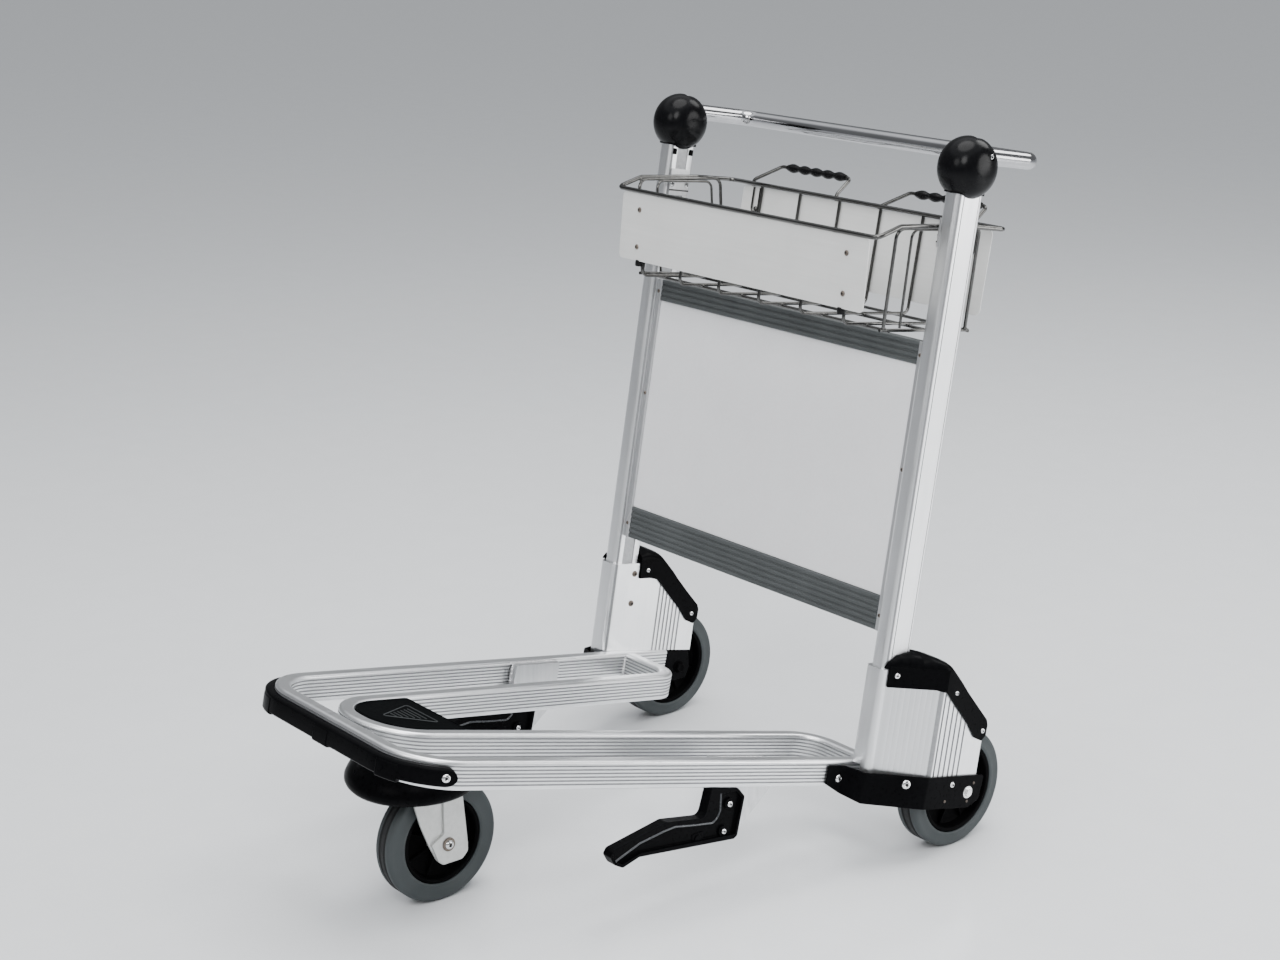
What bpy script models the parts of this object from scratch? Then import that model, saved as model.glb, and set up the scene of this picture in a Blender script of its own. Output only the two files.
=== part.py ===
"""Airport luggage trolley with an automatic hand brake, built as separate jointed pieces.

World frame: +X is the trolley's left side, -Y is the nose, +Z is up, floor at Z = 0.
Most positions below are written in the axle frame: the same axes, with Y = 0 at the rear axle.
"""

import math

import bmesh
import bpy
from mathutils import Matrix, Vector

# overall layout
AXLE_Y = 0.3624            # rear axle, from the middle of the footprint
WHEEL_R = 0.092
AXLE_Z = 0.090              # axle height before the whole frame is lifted
LIFT = WHEEL_R - AXLE_Z
REAR_WHEEL_X = 0.3320
CASTER_WHEEL_Y = -0.704
SWIVEL_Y = -0.740
GAP = 0.0003               # running gap between touching pieces

# base frame: rails lie in a plane that falls towards the back
DECK_SLOPE = 0.224
DECK_Z = 0.1222            # rail top above the rear axle line, before the lift
DECK_TILT = math.atan(DECK_SLOPE)
RAIL_W = 0.022
RAIL_H = 0.040
OUTER_X = 0.3020           # outer rail centreline half width at the axle
OUTER_TOE = 0.1286         # gain of half width per metre along the rail
INNER_X = 0.1755
INNER_TOE = 0.1219
OUTER_FRONT = -0.8805      # centreline of the nose cross part, along the rail
INNER_FRONT = -0.8480
OUTER_END = -0.0320
INNER_END = -0.1230
OUTER_CORNER_R = 0.080
INNER_CORNER_R = 0.076
INNER_END_R = 0.048
ARM_THICK = 0.0170

# posts and rear housings share one leaning frame
LEAN = math.atan(0.1686)
POST_X = 0.3095
FOOT_Y = -0.1370           # origin of the leaning frame
FOOT_Z = 0.160             # before the lift
POST_HALF_W = 0.0145
POST_HALF_D = 0.0250
POST_WALL = 0.0025
POST_BOTTOM = 0.036
KNOB_H = 0.8678            # knob centre along the post
KNOB_R = 0.045
KNOB_HALF_T = 0.036
POST_TOP = KNOB_H - 0.014
HOUSING_TOP = 0.142
HOUSING_REAR = 0.164
WALL_X = 0.0585            # outer housing wall, outwards from the post axis

# brake handle
HANDLE_R = 0.0125
HANDLE_LIFT = 0.0190       # bar axis above the knob centre
HANDLE_BACK = 0.1440       # bar axis behind the knob centre
PIVOT_Y = 0.012            # hinge pin behind the knob centre
PIVOT_Z = 0.0190
ROD_Y = -0.010

# basket
WIRE_R = 0.0035
THIN_WIRE_R = 0.0025
LOOP_WIRE_R = 0.0030       # lifting loops behind the rear sheet
LOOP_FOOT_Y = 0.1170
LOOP_SLANT = 0.031
LOOP_LENGTH = 0.1920
GRIP_BEADS = 5
GRIP_PITCH = 0.0266
GRIP_BEAD_R = 0.0073
GRIP_NECK_R = 0.0047

COLOURS = {
    "brushed_aluminium": ((0.72, 0.73, 0.74), 0.38, 0.9),
    "satin_aluminium": ((0.62, 0.63, 0.65), 0.45, 0.85),
    "grey_anodised": ((0.20, 0.22, 0.22), 0.5, 0.6),
    "chrome": ((0.80, 0.80, 0.81), 0.15, 1.0),
    "zinc_steel": ((0.66, 0.67, 0.66), 0.4, 0.85),
    "black_plastic": ((0.015, 0.015, 0.017), 0.42, 0.0),
    "black_hub": ((0.012, 0.012, 0.014), 0.5, 0.0),
    "grey_rubber": ((0.085, 0.10, 0.105), 0.75, 0.0),
    "white_panel": ((0.80, 0.80, 0.80), 0.35, 0.0),
    "basket_steel": ((0.60, 0.60, 0.58), 0.3, 0.95),
    "painted_sheet": ((0.70, 0.70, 0.69), 0.4, 0.1),
    "brake_rubber": ((0.03, 0.03, 0.03), 0.8, 0.0),
}


# ---------------------------------------------------------------- scene helpers

def clear_scene():
    """Remove every object that is in the scene."""
    for obj in list(bpy.data.objects):
        bpy.data.objects.remove(obj, do_unlink=True)


def material(name):
    """Return the shared material of a colour, made on first use."""
    found = bpy.data.materials.get(name)
    if found:
        return found
    colour, roughness, metallic = COLOURS[name]
    made = bpy.data.materials.new(name)
    made.use_nodes = True
    shader = made.node_tree.nodes["Principled BSDF"]
    shader.inputs["Base Color"].default_value = (*colour, 1.0)
    shader.inputs["Roughness"].default_value = roughness
    shader.inputs["Metallic"].default_value = metallic
    made.diffuse_color = (*colour, 1.0)
    return made


def deck_matrix():
    """Frame of the rails: origin on the rail top plane above the axle line."""
    return Matrix.Translation((0.0, AXLE_Y, DECK_Z + LIFT)) @ Matrix.Rotation(-DECK_TILT, 4, "X")


def lean_matrix(side=0.0, height=0.0, back=0.0):
    """Frame of the posts, moved up the post by height and backwards by back."""
    base = Matrix.Translation((side * POST_X, AXLE_Y + FOOT_Y, FOOT_Z + LIFT))
    return base @ Matrix.Rotation(-LEAN, 4, "X") @ Matrix.Translation((0.0, back, height))


def axle_matrix(x=0.0, y=0.0, z=0.0):
    """Upright frame at a point given in the axle frame."""
    return Matrix.Translation((x, AXLE_Y + y, z + LIFT))


def add_object(name, mesh_data, matrix, colour, smooth=True, angle=35.0):
    """Make an object from a bmesh, place it, colour it and shade it."""
    bmesh.ops.remove_doubles(mesh_data, verts=mesh_data.verts, dist=1e-6)
    bmesh.ops.recalc_face_normals(mesh_data, faces=mesh_data.faces)
    mesh = bpy.data.meshes.new(name)
    mesh_data.to_mesh(mesh)
    mesh_data.free()
    obj = bpy.data.objects.new(name, mesh)
    bpy.context.scene.collection.objects.link(obj)
    obj.matrix_world = matrix
    mesh.materials.append(material(colour))
    if smooth:
        mesh.shade_smooth()
        mesh.set_sharp_from_angle(angle=math.radians(angle))
    return obj


def combine(obj, cutters, operation="DIFFERENCE"):
    """Apply an exact boolean with each cutter and delete the cutters."""
    bpy.context.view_layer.update()
    for cutter in cutters:
        modifier = obj.modifiers.new(operation.lower(), "BOOLEAN")
        modifier.operation = operation
        modifier.solver = "EXACT"
        modifier.object = cutter
        shape = obj.evaluated_get(bpy.context.evaluated_depsgraph_get())
        mesh = bpy.data.meshes.new_from_object(shape)
        obj.modifiers.clear()
        old = obj.data
        obj.data = mesh
        mesh.name = old.name
        bpy.data.meshes.remove(old)
        bpy.data.objects.remove(cutter, do_unlink=True)
        bpy.context.view_layer.update()
    while len(obj.data.materials) > 1:
        obj.data.materials.pop(index=len(obj.data.materials) - 1)
    for polygon in obj.data.polygons:
        polygon.material_index = 0
    return obj


# ---------------------------------------------------------------- shape helpers

def flip(points, side):
    """Mirror an outline across the middle plane for the right-hand pieces."""
    return [(side * x, y) for x, y in points]


def prism(outline, low, high, axis="Z"):
    """Extrude a closed outline between two levels along an axis.

    axis Z: outline is (x, y).  axis X: outline is (y, z).  axis Y: outline is (x, z).
    """
    shape = bmesh.new()
    rings = []
    for level in (low, high):
        ring = []
        for a, b in outline:
            if axis == "Z":
                ring.append(shape.verts.new((a, b, level)))
            elif axis == "X":
                ring.append(shape.verts.new((level, a, b)))
            else:
                ring.append(shape.verts.new((a, level, b)))
        rings.append(ring)
    count = len(outline)
    for i in range(count):
        j = (i + 1) % count
        shape.faces.new((rings[0][i], rings[0][j], rings[1][j], rings[1][i]))
    shape.faces.new(list(reversed(rings[0])))
    shape.faces.new(rings[1])
    return shape


def box(x0, x1, y0, y1, z0, z1):
    """A plain block between two corners."""
    return prism([(x0, y0), (x1, y0), (x1, y1), (x0, y1)], z0, z1)


def ring_prism(outer, inner, low, high):
    """Extrude a hollow section along Z; both loops have the same number of points."""
    shape = bmesh.new()
    loops = []
    for level in (low, high):
        for outline in (outer, inner):
            loops.append([shape.verts.new((x, y, level)) for x, y in outline])
    low_out, low_in, high_out, high_in = loops
    count = len(outer)
    for i in range(count):
        j = (i + 1) % count
        shape.faces.new((low_out[i], low_out[j], high_out[j], high_out[i]))
        shape.faces.new((low_in[j], low_in[i], high_in[i], high_in[j]))
        shape.faces.new((high_out[i], high_out[j], high_in[j], high_in[i]))
        shape.faces.new((low_out[j], low_out[i], low_in[i], low_in[j]))
    return shape


def lathe(profile, segments=36, axis="X", closed=False):
    """Turn a profile of (radius, position) about an axis."""
    shape = bmesh.new()
    rings = []
    for radius, along in profile:
        if radius < 1e-6:
            point = (along, 0.0, 0.0) if axis == "X" else (0.0, 0.0, along)
            rings.append([shape.verts.new(point)])
            continue
        ring = []
        for i in range(segments):
            turn = 2.0 * math.pi * i / segments
            c = radius * math.cos(turn)
            s = radius * math.sin(turn)
            point = (along, c, s) if axis == "X" else (c, s, along)
            ring.append(shape.verts.new(point))
        rings.append(ring)
    pairs = list(zip(rings, rings[1:]))
    if closed:
        pairs.append((rings[-1], rings[0]))
    for first, second in pairs:
        for i in range(segments):
            j = (i + 1) % segments
            corners = [first[i % len(first)], first[j % len(first)]]
            corners += [second[j % len(second)], second[i % len(second)]]
            unique = list(dict.fromkeys(corners))
            if len(unique) > 2:
                shape.faces.new(unique)
    if not closed:
        for ring in (rings[0], rings[-1]):
            if len(ring) > 2:
                shape.faces.new(ring)
    return shape


def rounded(points, radii, steps=5, closed=True):
    """Round the corners of a 2D or 3D polyline; radii is one number or one per point."""
    made = []
    count = len(points)
    for i, point in enumerate(points):
        here = Vector(point)
        radius = radii[i] if isinstance(radii, (list, tuple)) else radii
        if radius <= 0.0 or (not closed and i in (0, count - 1)):
            made.append(here)
            continue
        before = (Vector(points[i - 1]) - here).normalized()
        after = (Vector(points[(i + 1) % count]) - here).normalized()
        half = 0.5 * before.angle(after)
        reach = radius / math.tan(half)
        middle = here + (before + after).normalized() * (radius / math.sin(half))
        start = here + before * reach - middle
        end = here + after * reach - middle
        total = start.angle(end)
        for k in range(steps + 1):
            part = k / steps
            a = math.sin((1.0 - part) * total) / math.sin(total)
            b = math.sin(part * total) / math.sin(total)
            made.append(middle + start * a + end * b)
    return [tuple(point) for point in made]


def side_steps(points, closed=False):
    """Left-hand normal and mitre factor at each point of a flat path."""
    result = []
    count = len(points)
    for i in range(count):
        here = Vector(points[i])
        back = Vector(points[i - 1]) if (closed or i > 0) else None
        ahead = Vector(points[(i + 1) % count]) if (closed or i < count - 1) else None
        first = (here - back).normalized() if back is not None else None
        second = (ahead - here).normalized() if ahead is not None else None
        if first is None:
            first = second
        if second is None:
            second = first
        tangent = (first + second).normalized()
        normal = Vector((-tangent.y, tangent.x))
        result.append((here, normal, 1.0 / max(0.3, tangent.dot(first))))
    return result


def offset_path(points, distance):
    """Move a flat open path sideways to its left."""
    return [tuple(here + normal * distance * mitre)
            for here, normal, mitre in side_steps(points)]


def clip_path(points, limit):
    """The part of a flat path in front of a Y limit, cut exactly at that limit."""
    kept = []
    for first, second in zip(points, points[1:]):
        if first[1] <= limit:
            kept.append(first)
        if (first[1] - limit) * (second[1] - limit) < 0.0:
            share = (limit - first[1]) / (second[1] - first[1])
            kept.append((first[0] + share * (second[0] - first[0]), limit))
    return kept


def sweep_flat(path, section, heights=None):
    """Sweep a section of (side, height) along a flat open path; caps both ends."""
    shape = bmesh.new()
    rings = []
    for i, (here, normal, mitre) in enumerate(side_steps(path)):
        low, high = heights[i] if heights else (None, None)
        ring = []
        for side, height in section:
            spot = here + normal * side * mitre
            if heights:
                height = low + (high - low) * height
            ring.append(shape.verts.new((spot.x, spot.y, height)))
        rings.append(ring)
    for first, second in zip(rings, rings[1:]):
        for i in range(len(section)):
            j = (i + 1) % len(section)
            shape.faces.new((first[i], first[j], second[j], second[i]))
    shape.faces.new(rings[0])
    shape.faces.new(rings[-1])
    return shape


def tube(points, radius, sides=8, closed=False, bore=0.0):
    """Round bar or tube along a 3D path."""
    shape = bmesh.new()
    spots = [Vector(point) for point in points]
    count = len(spots)
    rings = []
    bores = []
    normal = None
    for i, here in enumerate(spots):
        back = spots[i - 1] if (closed or i > 0) else here
        ahead = spots[(i + 1) % count] if (closed or i < count - 1) else here
        first = (here - back).normalized() if (here - back).length > 0 else None
        second = (ahead - here).normalized() if (ahead - here).length > 0 else None
        first = first if first is not None else second
        second = second if second is not None else first
        tangent = (first + second).normalized()
        if normal is None:
            guess = Vector((0, 0, 1)) if abs(tangent.z) < 0.9 else Vector((1, 0, 0))
            normal = guess - tangent * guess.dot(tangent)
        normal = (normal - tangent * normal.dot(tangent)).normalized()
        across = tangent.cross(normal)
        mitre = 1.0 / max(0.5, tangent.dot(first))
        bend = (second - first)
        bend = bend.normalized() if bend.length > 1e-5 else None
        for rings_out, size in ((rings, radius), (bores, bore)):
            if size <= 0.0:
                continue
            ring = []
            for k in range(sides):
                turn = 2.0 * math.pi * (k + 0.5) / sides
                spoke = normal * math.cos(turn) * size + across * math.sin(turn) * size
                if bend is not None:
                    spoke = spoke + bend * spoke.dot(bend) * (mitre - 1.0)
                ring.append(shape.verts.new(here + spoke))
            rings_out.append(ring)
    for group in (rings, bores):
        pairs = list(zip(group, group[1:]))
        if closed and group:
            pairs.append((group[-1], group[0]))
        for one, two in pairs:
            for i in range(sides):
                j = (i + 1) % sides
                shape.faces.new((one[i], one[j], two[j], two[i]))
    if not closed:
        for k in (0, -1):
            if bores:
                for i in range(sides):
                    j = (i + 1) % sides
                    shape.faces.new((rings[k][i], rings[k][j], bores[k][j], bores[k][i]))
            else:
                shape.faces.new(rings[k])
    return shape


def ribbed_section(width, height, grooves, depth, edge):
    """Upright rail section, top at zero, with grooves along both faces."""
    half = 0.5 * width
    pitch = (height - 2.0 * edge) / grooves
    right = [(half - 0.0015, 0.0), (half, -0.0015)]
    for i in range(grooves):
        middle = -(edge + pitch * (i + 0.5))
        right.append((half, middle + 0.20 * pitch))
        right.append((half - depth, middle))
        right.append((half, middle - 0.20 * pitch))
    right += [(half, -height + 0.0015), (half - 0.0015, -height)]
    left = [(-x, z) for x, z in reversed(right)]
    return right + left


# ---------------------------------------------------------------- base frame

def outer_path(steps=6):
    """Centreline of the outer rail, from the left end round the nose to the right end."""
    end_x = OUTER_X + OUTER_TOE * OUTER_END
    nose_x = OUTER_X + OUTER_TOE * OUTER_FRONT
    corners = [(end_x, OUTER_END), (nose_x, OUTER_FRONT)]
    corners += [(-nose_x, OUTER_FRONT), (-end_x, OUTER_END)]
    return rounded(corners, OUTER_CORNER_R, steps, closed=False)


def inner_corners():
    """Corner points of the inner rail centreline."""
    side_x = INNER_X + INNER_TOE * INNER_END
    nose_x = INNER_X + INNER_TOE * INNER_FRONT
    reach = OUTER_X + OUTER_TOE * INNER_END - 0.5 * RAIL_W - 0.0018
    corners = [(reach, INNER_END), (side_x, INNER_END), (nose_x, INNER_FRONT)]
    return corners + [(-x, y) for x, y in reversed(corners)]


def build_rails():
    """Outer loop, inner loop, nose bumper and nose plate."""
    section = ribbed_section(RAIL_W, RAIL_H, 3, 0.0008, 0.004)
    outer = sweep_flat(outer_path(), section)
    add_object("outer_rail", outer, deck_matrix(), "brushed_aluminium", angle=30)

    radii = [0.0, INNER_END_R, INNER_CORNER_R, INNER_CORNER_R, INNER_END_R, 0.0]
    inner_line = rounded(inner_corners(), radii, 5, closed=False)
    inner = sweep_flat(inner_line, section)
    add_object("inner_rail", inner, deck_matrix(), "brushed_aluminium", angle=30)

    line = offset_path(outer_path(), 0.5 * RAIL_W + GAP + 0.0065)
    line = clip_path(line, OUTER_FRONT + 0.064)
    heights = []
    for x, y in line:
        share = min(1.0, max(0.0, (abs(x) - 0.12) / 0.10))
        heights.append((-0.0365 + 0.0035 * share, -0.0095 + 0.0025 * share))
    flat = [(-0.0065, 0.0), (0.0, 0.0), (0.0035, 0.04), (0.0065, 0.22)]
    flat += [(0.0065, 0.78), (0.0035, 0.96), (0.0, 1.0), (-0.0065, 1.0)]
    bumper = sweep_flat(line, flat, heights)
    add_object("nose_bumper", bumper, deck_matrix(), "black_plastic", angle=40)

    nose_line = [p for p in inner_line if p[1] < -0.70]
    edge = offset_path(nose_line, -(0.5 * RAIL_W + 0.0005))
    rear = -0.7165
    last_x = edge[0][0] + INNER_TOE * (rear - edge[0][1])
    outline = [(last_x, rear)] + [p for p in edge if p[1] < rear - 0.005] + [(-last_x, rear)]
    plate = prism(outline, -0.0048, -0.0006)
    add_object("nose_plate", plate, deck_matrix(), "black_plastic", angle=40)


def build_step_arm(side, tag):
    """Fixed black foot under each outer rail, with its aluminium mounting.

    Both feet are the same moulding, so each has its face on the trolley's left.
    """
    outline = [(-0.4120, 0.1731), (-0.3620, 0.1600), (-0.3490, 0.1440), (-0.3625, 0.0860)]
    outline += [(-0.3690, 0.0830), (-0.5440, 0.1075), (-0.5735, 0.1000), (-0.5880, 0.1085)]
    outline += [(-0.5960, 0.1230), (-0.5905, 0.1310), (-0.4955, 0.1455), (-0.4250, 0.1315)]
    radii = [0.003, 0.006, 0.006, 0.004, 0.003, 0.010, 0.006, 0.008, 0.004, 0.006, 0.012, 0.010]
    outline = rounded(outline, radii, 2)
    hang = 0.2450 if side > 0 else -0.2450
    face = hang + ARM_THICK
    arm = add_object("step_arm_" + tag, prism(outline, hang, face, "X"),
                     axle_matrix(), "black_plastic", angle=50)
    pocket = [(-0.420, 0.127), (-0.384, 0.127), (-0.384, 0.096), (-0.520, 0.116), (-0.500, 0.137)]
    pocket = rounded(pocket, 0.004, 2)
    cut = add_object("cut", prism(pocket, face - 0.0050, face + 0.0080, "X"), axle_matrix(),
                     "black_plastic")
    combine(arm, [cut])

    front_x, rear_x = [OUTER_X + OUTER_TOE * y - 0.5 * RAIL_W - GAP for y in (-0.400, -0.303)]
    block = [(front_x - 0.0130, -0.4000), (front_x, -0.4000), (rear_x, -0.3030)]
    block.append((rear_x - 0.0130, -0.3030))
    mount = add_object("arm_mount_" + tag, prism(flip(block, side), -0.0395, -0.0028),
                       deck_matrix(), "satin_aluminium", angle=40)
    neck = box(0.2275, 0.2391, -0.398, -0.305, -0.0520, -0.0200)
    if side < 0:
        neck = box(-0.2470, -0.2400, -0.338, -0.305, -0.0500, -0.0200)
    neck = add_object("neck", neck, deck_matrix(), "satin_aluminium")
    web = [(-0.4100, 0.1600), (-0.3620, 0.1770), (-0.3270, 0.1560), (-0.2930, 0.1400)]
    web += [(-0.3510, 0.0940), (-0.3660, 0.0900), (-0.4100, 0.1250)]
    web_part = add_object("web", prism(web, hang - 0.0070, hang - 0.0003, "X"), axle_matrix(),
                          "satin_aluminium")
    trim = add_object("trim", box(-0.30, 0.30, -0.50, -0.20, -RAIL_H - GAP, 0.05), deck_matrix(),
                      "satin_aluminium")
    combine(web_part, [trim])
    combine(mount, [neck, web_part], "UNION")


# ---------------------------------------------------------------- caster

def build_caster():
    """Front swivel wheel with its housing, bearing, fork, axle and wheel."""
    swivel = axle_matrix(0.0, SWIVEL_Y, 0.0)
    dome = [(0.080, 0.1960), (0.086, 0.1865), (0.093, 0.1880), (0.0965, 0.1960)]
    dome += [(0.0950, 0.2050), (0.086, 0.2180), (0.073, 0.2280), (0.070, 0.3300), (0.0, 0.3300)]
    dome = [(0.0, 0.1960)] + dome
    mount = add_object("caster_mount", lathe(dome, 32, "Z"), swivel, "black_plastic", angle=40)
    above = add_object("cut", box(-0.3, 0.3, -1.2, -0.3, -RAIL_H - GAP, 0.2), deck_matrix(),
                       "black_plastic")
    combine(mount, [above])
    plug = add_object("plug", box(-0.047, 0.047, -0.805, -0.712, -0.060, -0.0055), deck_matrix(),
                      "black_plastic")
    combine(mount, [plug], "UNION")
    bore = add_object("bore", lathe([(0.0095, 0.15), (0.0095, 0.35)], 24, "Z"), swivel,
                      "black_plastic")
    sink = add_object("sink", lathe([(0.020, 0.258), (0.020, 0.35)], 24, "Z"), swivel,
                      "black_plastic")
    combine(mount, [bore, sink])

    ring = [(0.0120, 0.1912), (0.0300, 0.1912), (0.0300, 0.1957), (0.0120, 0.1957)]
    add_object("swivel_bearing", lathe(ring, 32, "Z", closed=True), swivel, "zinc_steel")

    crown = [(0.0, 0.1865), (0.040, 0.1865), (0.040, 0.1905), (0.0090, 0.1905)]
    crown += [(0.0090, 0.2725), (0.0, 0.2725)]
    fork = add_object("caster_fork", lathe(crown, 32, "Z"), swivel, "zinc_steel", angle=40)
    legs = []
    for side in (-1.0, 1.0):
        leg = [(-0.0250, 0.1870), (-0.0083, 0.1280), (0.0052, 0.0941), (0.0180, 0.0680)]
        leg += [(0.0260, 0.0600), (0.0600, 0.0600), (0.0700, 0.0700), (0.0700, 0.0820)]
        leg += [(0.0600, 0.1870)]
        leg = rounded(leg, [0.0, 0.01, 0.004, 0.008, 0.006, 0.008, 0.008, 0.010, 0.0], 2)
        low, high = sorted((side * 0.0240, side * 0.0285))
        legs.append(add_object("leg", prism(leg, low, high, "X"), swivel, "zinc_steel"))
        rib = [(-0.018, 0.1868), (-0.003, 0.1300), (0.012, 0.0960), (0.024, 0.0990), (0.030, 0.1868)]
        low, high = sorted((side * 0.0275, side * 0.0320))
        legs.append(add_object("rib", prism(rib, low, high, "X"), swivel, "zinc_steel"))
    shelf = rounded([(-0.032, -0.026), (0.032, -0.026), (0.032, 0.062), (-0.032, 0.062)], 0.008, 3)
    legs.insert(0, add_object("shelf", prism(shelf, 0.1866, 0.1904), swivel, "zinc_steel"))
    combine(fork, legs, "UNION")
    hole = lathe([(0.0063, -0.05), (0.0063, 0.05)], 20, "X")
    hole = add_object("hole", hole, axle_matrix(0.0, CASTER_WHEEL_Y, AXLE_Z), "zinc_steel")
    combine(fork, [hole])

    nut = add_object("swivel_nut", lathe([(0.0155, 0.2600), (0.0155, 0.2690)], 6, "Z"), swivel,
                     "zinc_steel", smooth=False)
    thread = lathe([(0.0094, 0.25), (0.0094, 0.28)], 24, "Z")
    combine(nut, [add_object("thread", thread, swivel, "zinc_steel")])

    bolt = [(0.0, -0.0375), (0.0080, -0.0375), (0.0080, -0.0328), (0.0110, -0.0328)]
    bolt += [(0.0110, -0.0290), (0.0060, -0.0290), (0.0060, 0.0290), (0.0110, 0.0290)]
    bolt += [(0.0110, 0.0328), (0.0080, 0.0328), (0.0080, 0.0375), (0.0, 0.0375)]
    wheel_frame = axle_matrix(0.0, CASTER_WHEEL_Y, AXLE_Z)
    add_object("caster_axle", lathe(bolt, 16), wheel_frame, "zinc_steel")
    build_wheel("caster", wheel_frame, 0.0185, 0.0655, 0.0236)


def build_wheel(tag, frame, half, hub_r, boss):
    """Hub and tyre turning on one axle."""
    rim = hub_r - 0.001
    hub = [(0.0064, -boss), (0.0150, -boss), (0.0165, -0.010), (hub_r - 0.008, -0.010)]
    hub += [(hub_r - 0.006, -half + 0.002), (rim, -half + 0.002), (rim, half - 0.002)]
    hub += [(hub_r - 0.006, half - 0.002), (hub_r - 0.008, 0.010), (0.0165, 0.010)]
    hub += [(0.0150, boss), (0.0064, boss)]
    add_object(tag + "_hub", lathe(hub, 20, closed=True), frame, "black_hub", angle=30)
    tyre = [(hub_r - 0.0006, -half), (WHEEL_R - 0.003, -half), (WHEEL_R, -half + 0.003)]
    tyre += [(WHEEL_R, half - 0.003), (WHEEL_R - 0.003, half), (hub_r - 0.0006, half)]
    add_object(tag + "_tyre", lathe(tyre, 36, closed=True), frame, "grey_rubber", angle=30)


# ---------------------------------------------------------------- rear corner

def flare_x(back, wall=0.0):
    """Outer side of the housing at a distance behind the post axis."""
    slope = 0.5
    return min(0.0170 + slope * (back + 0.0200), WALL_X) - wall


def housing_plan():
    """Outline of the housing across the post, outward side positive."""
    ribs = []
    for i in range(6):
        back = 0.066 + 0.0105 * i
        ribs += [(WALL_X, back), (WALL_X - 0.001, back + 0.001)]
        ribs += [(WALL_X - 0.001, back + 0.0035), (WALL_X, back + 0.0045)]
    inner_ribs = []
    for i in range(5):
        back = 0.112 - 0.0085 * i
        inner_ribs += [(-0.0195, back), (-0.0185, back - 0.001)]
        inner_ribs += [(-0.0185, back - 0.003), (-0.0195, back - 0.004)]
    front = rounded([(-0.0195, 0.0), (-0.0195, -0.0305), (0.0150, -0.0305), (0.0172, -0.0195)],
                    [0.0, 0.011, 0.008, 0.0], 4, closed=False)
    outline = list(front)
    outline += [(WALL_X, 0.0630)] + ribs + [(WALL_X, HOUSING_REAR)]
    outline += [(-0.0195, HOUSING_REAR)] + inner_ribs
    return outline


def post_section(half_w, half_d, front_r, rear_r, steps=4):
    """Closed post outline with a rounded front."""
    corners = [(-half_w, -half_d), (half_w, -half_d), (half_w, half_d), (-half_w, half_d)]
    return rounded(corners, [front_r, front_r, rear_r, rear_r], steps)


def build_housing(side, tag):
    """Rear aluminium housing: post socket in front, wheel well behind."""
    frame = lean_matrix(side)
    housing = add_object("housing_" + tag, prism(flip(housing_plan(), side), -0.06, HOUSING_TOP),
                         frame, "brushed_aluminium", angle=30)
    socket = post_section(POST_HALF_W + GAP, POST_HALF_D + GAP, 0.0085, 0.003, 3)
    well = [(-0.0165, 0.0290), (flare_x(0.029, 0.0034), 0.0290), (WALL_X - 0.003, 0.0640)]
    well += [(WALL_X - 0.003, 0.20), (-0.0165, 0.20)]
    cell = [(0.0185, 0.0010), (flare_x(0.001, 0.0034), 0.0010), (flare_x(0.0255, 0.0034), 0.0255)]
    cell.append((0.0185, 0.0255))
    slope = [(0.0722, 0.1425), (0.1640, 0.0620), (0.1720, 0.0600), (0.1720, 0.30), (0.0722, 0.30)]
    cutters = [
        prism(flip(socket, side), -0.10, 0.20),
        prism(flip(well, side), -0.10, 0.20),
        prism(flip(cell, side), -0.10, 0.20),
        prism(slope, -0.10, 0.10, "X"),
    ]
    pieces = [add_object("cut", shape, frame, "brushed_aluminium") for shape in cutters]
    door = prism(flip([(-0.0148, 0.018), (0.0148, 0.018), (0.0148, 0.034), (-0.0148, 0.034)], side),
                 -0.10, 0.041)
    pieces.append(add_object("cut", door, frame, "brushed_aluminium"))
    combine(housing, pieces)
    below = box(-0.5, 0.5, -0.35, 0.15, -0.20, -0.0180)
    rail_side = sorted((side * 0.20, side * (POST_X + 0.0018)))
    foot = box(rail_side[0], rail_side[1], -0.35, 0.15, -0.20, GAP)
    shapes = [add_object("cut", shape, deck_matrix(), "brushed_aluminium") for shape in (below, foot)]
    combine(housing, shapes)


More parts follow.
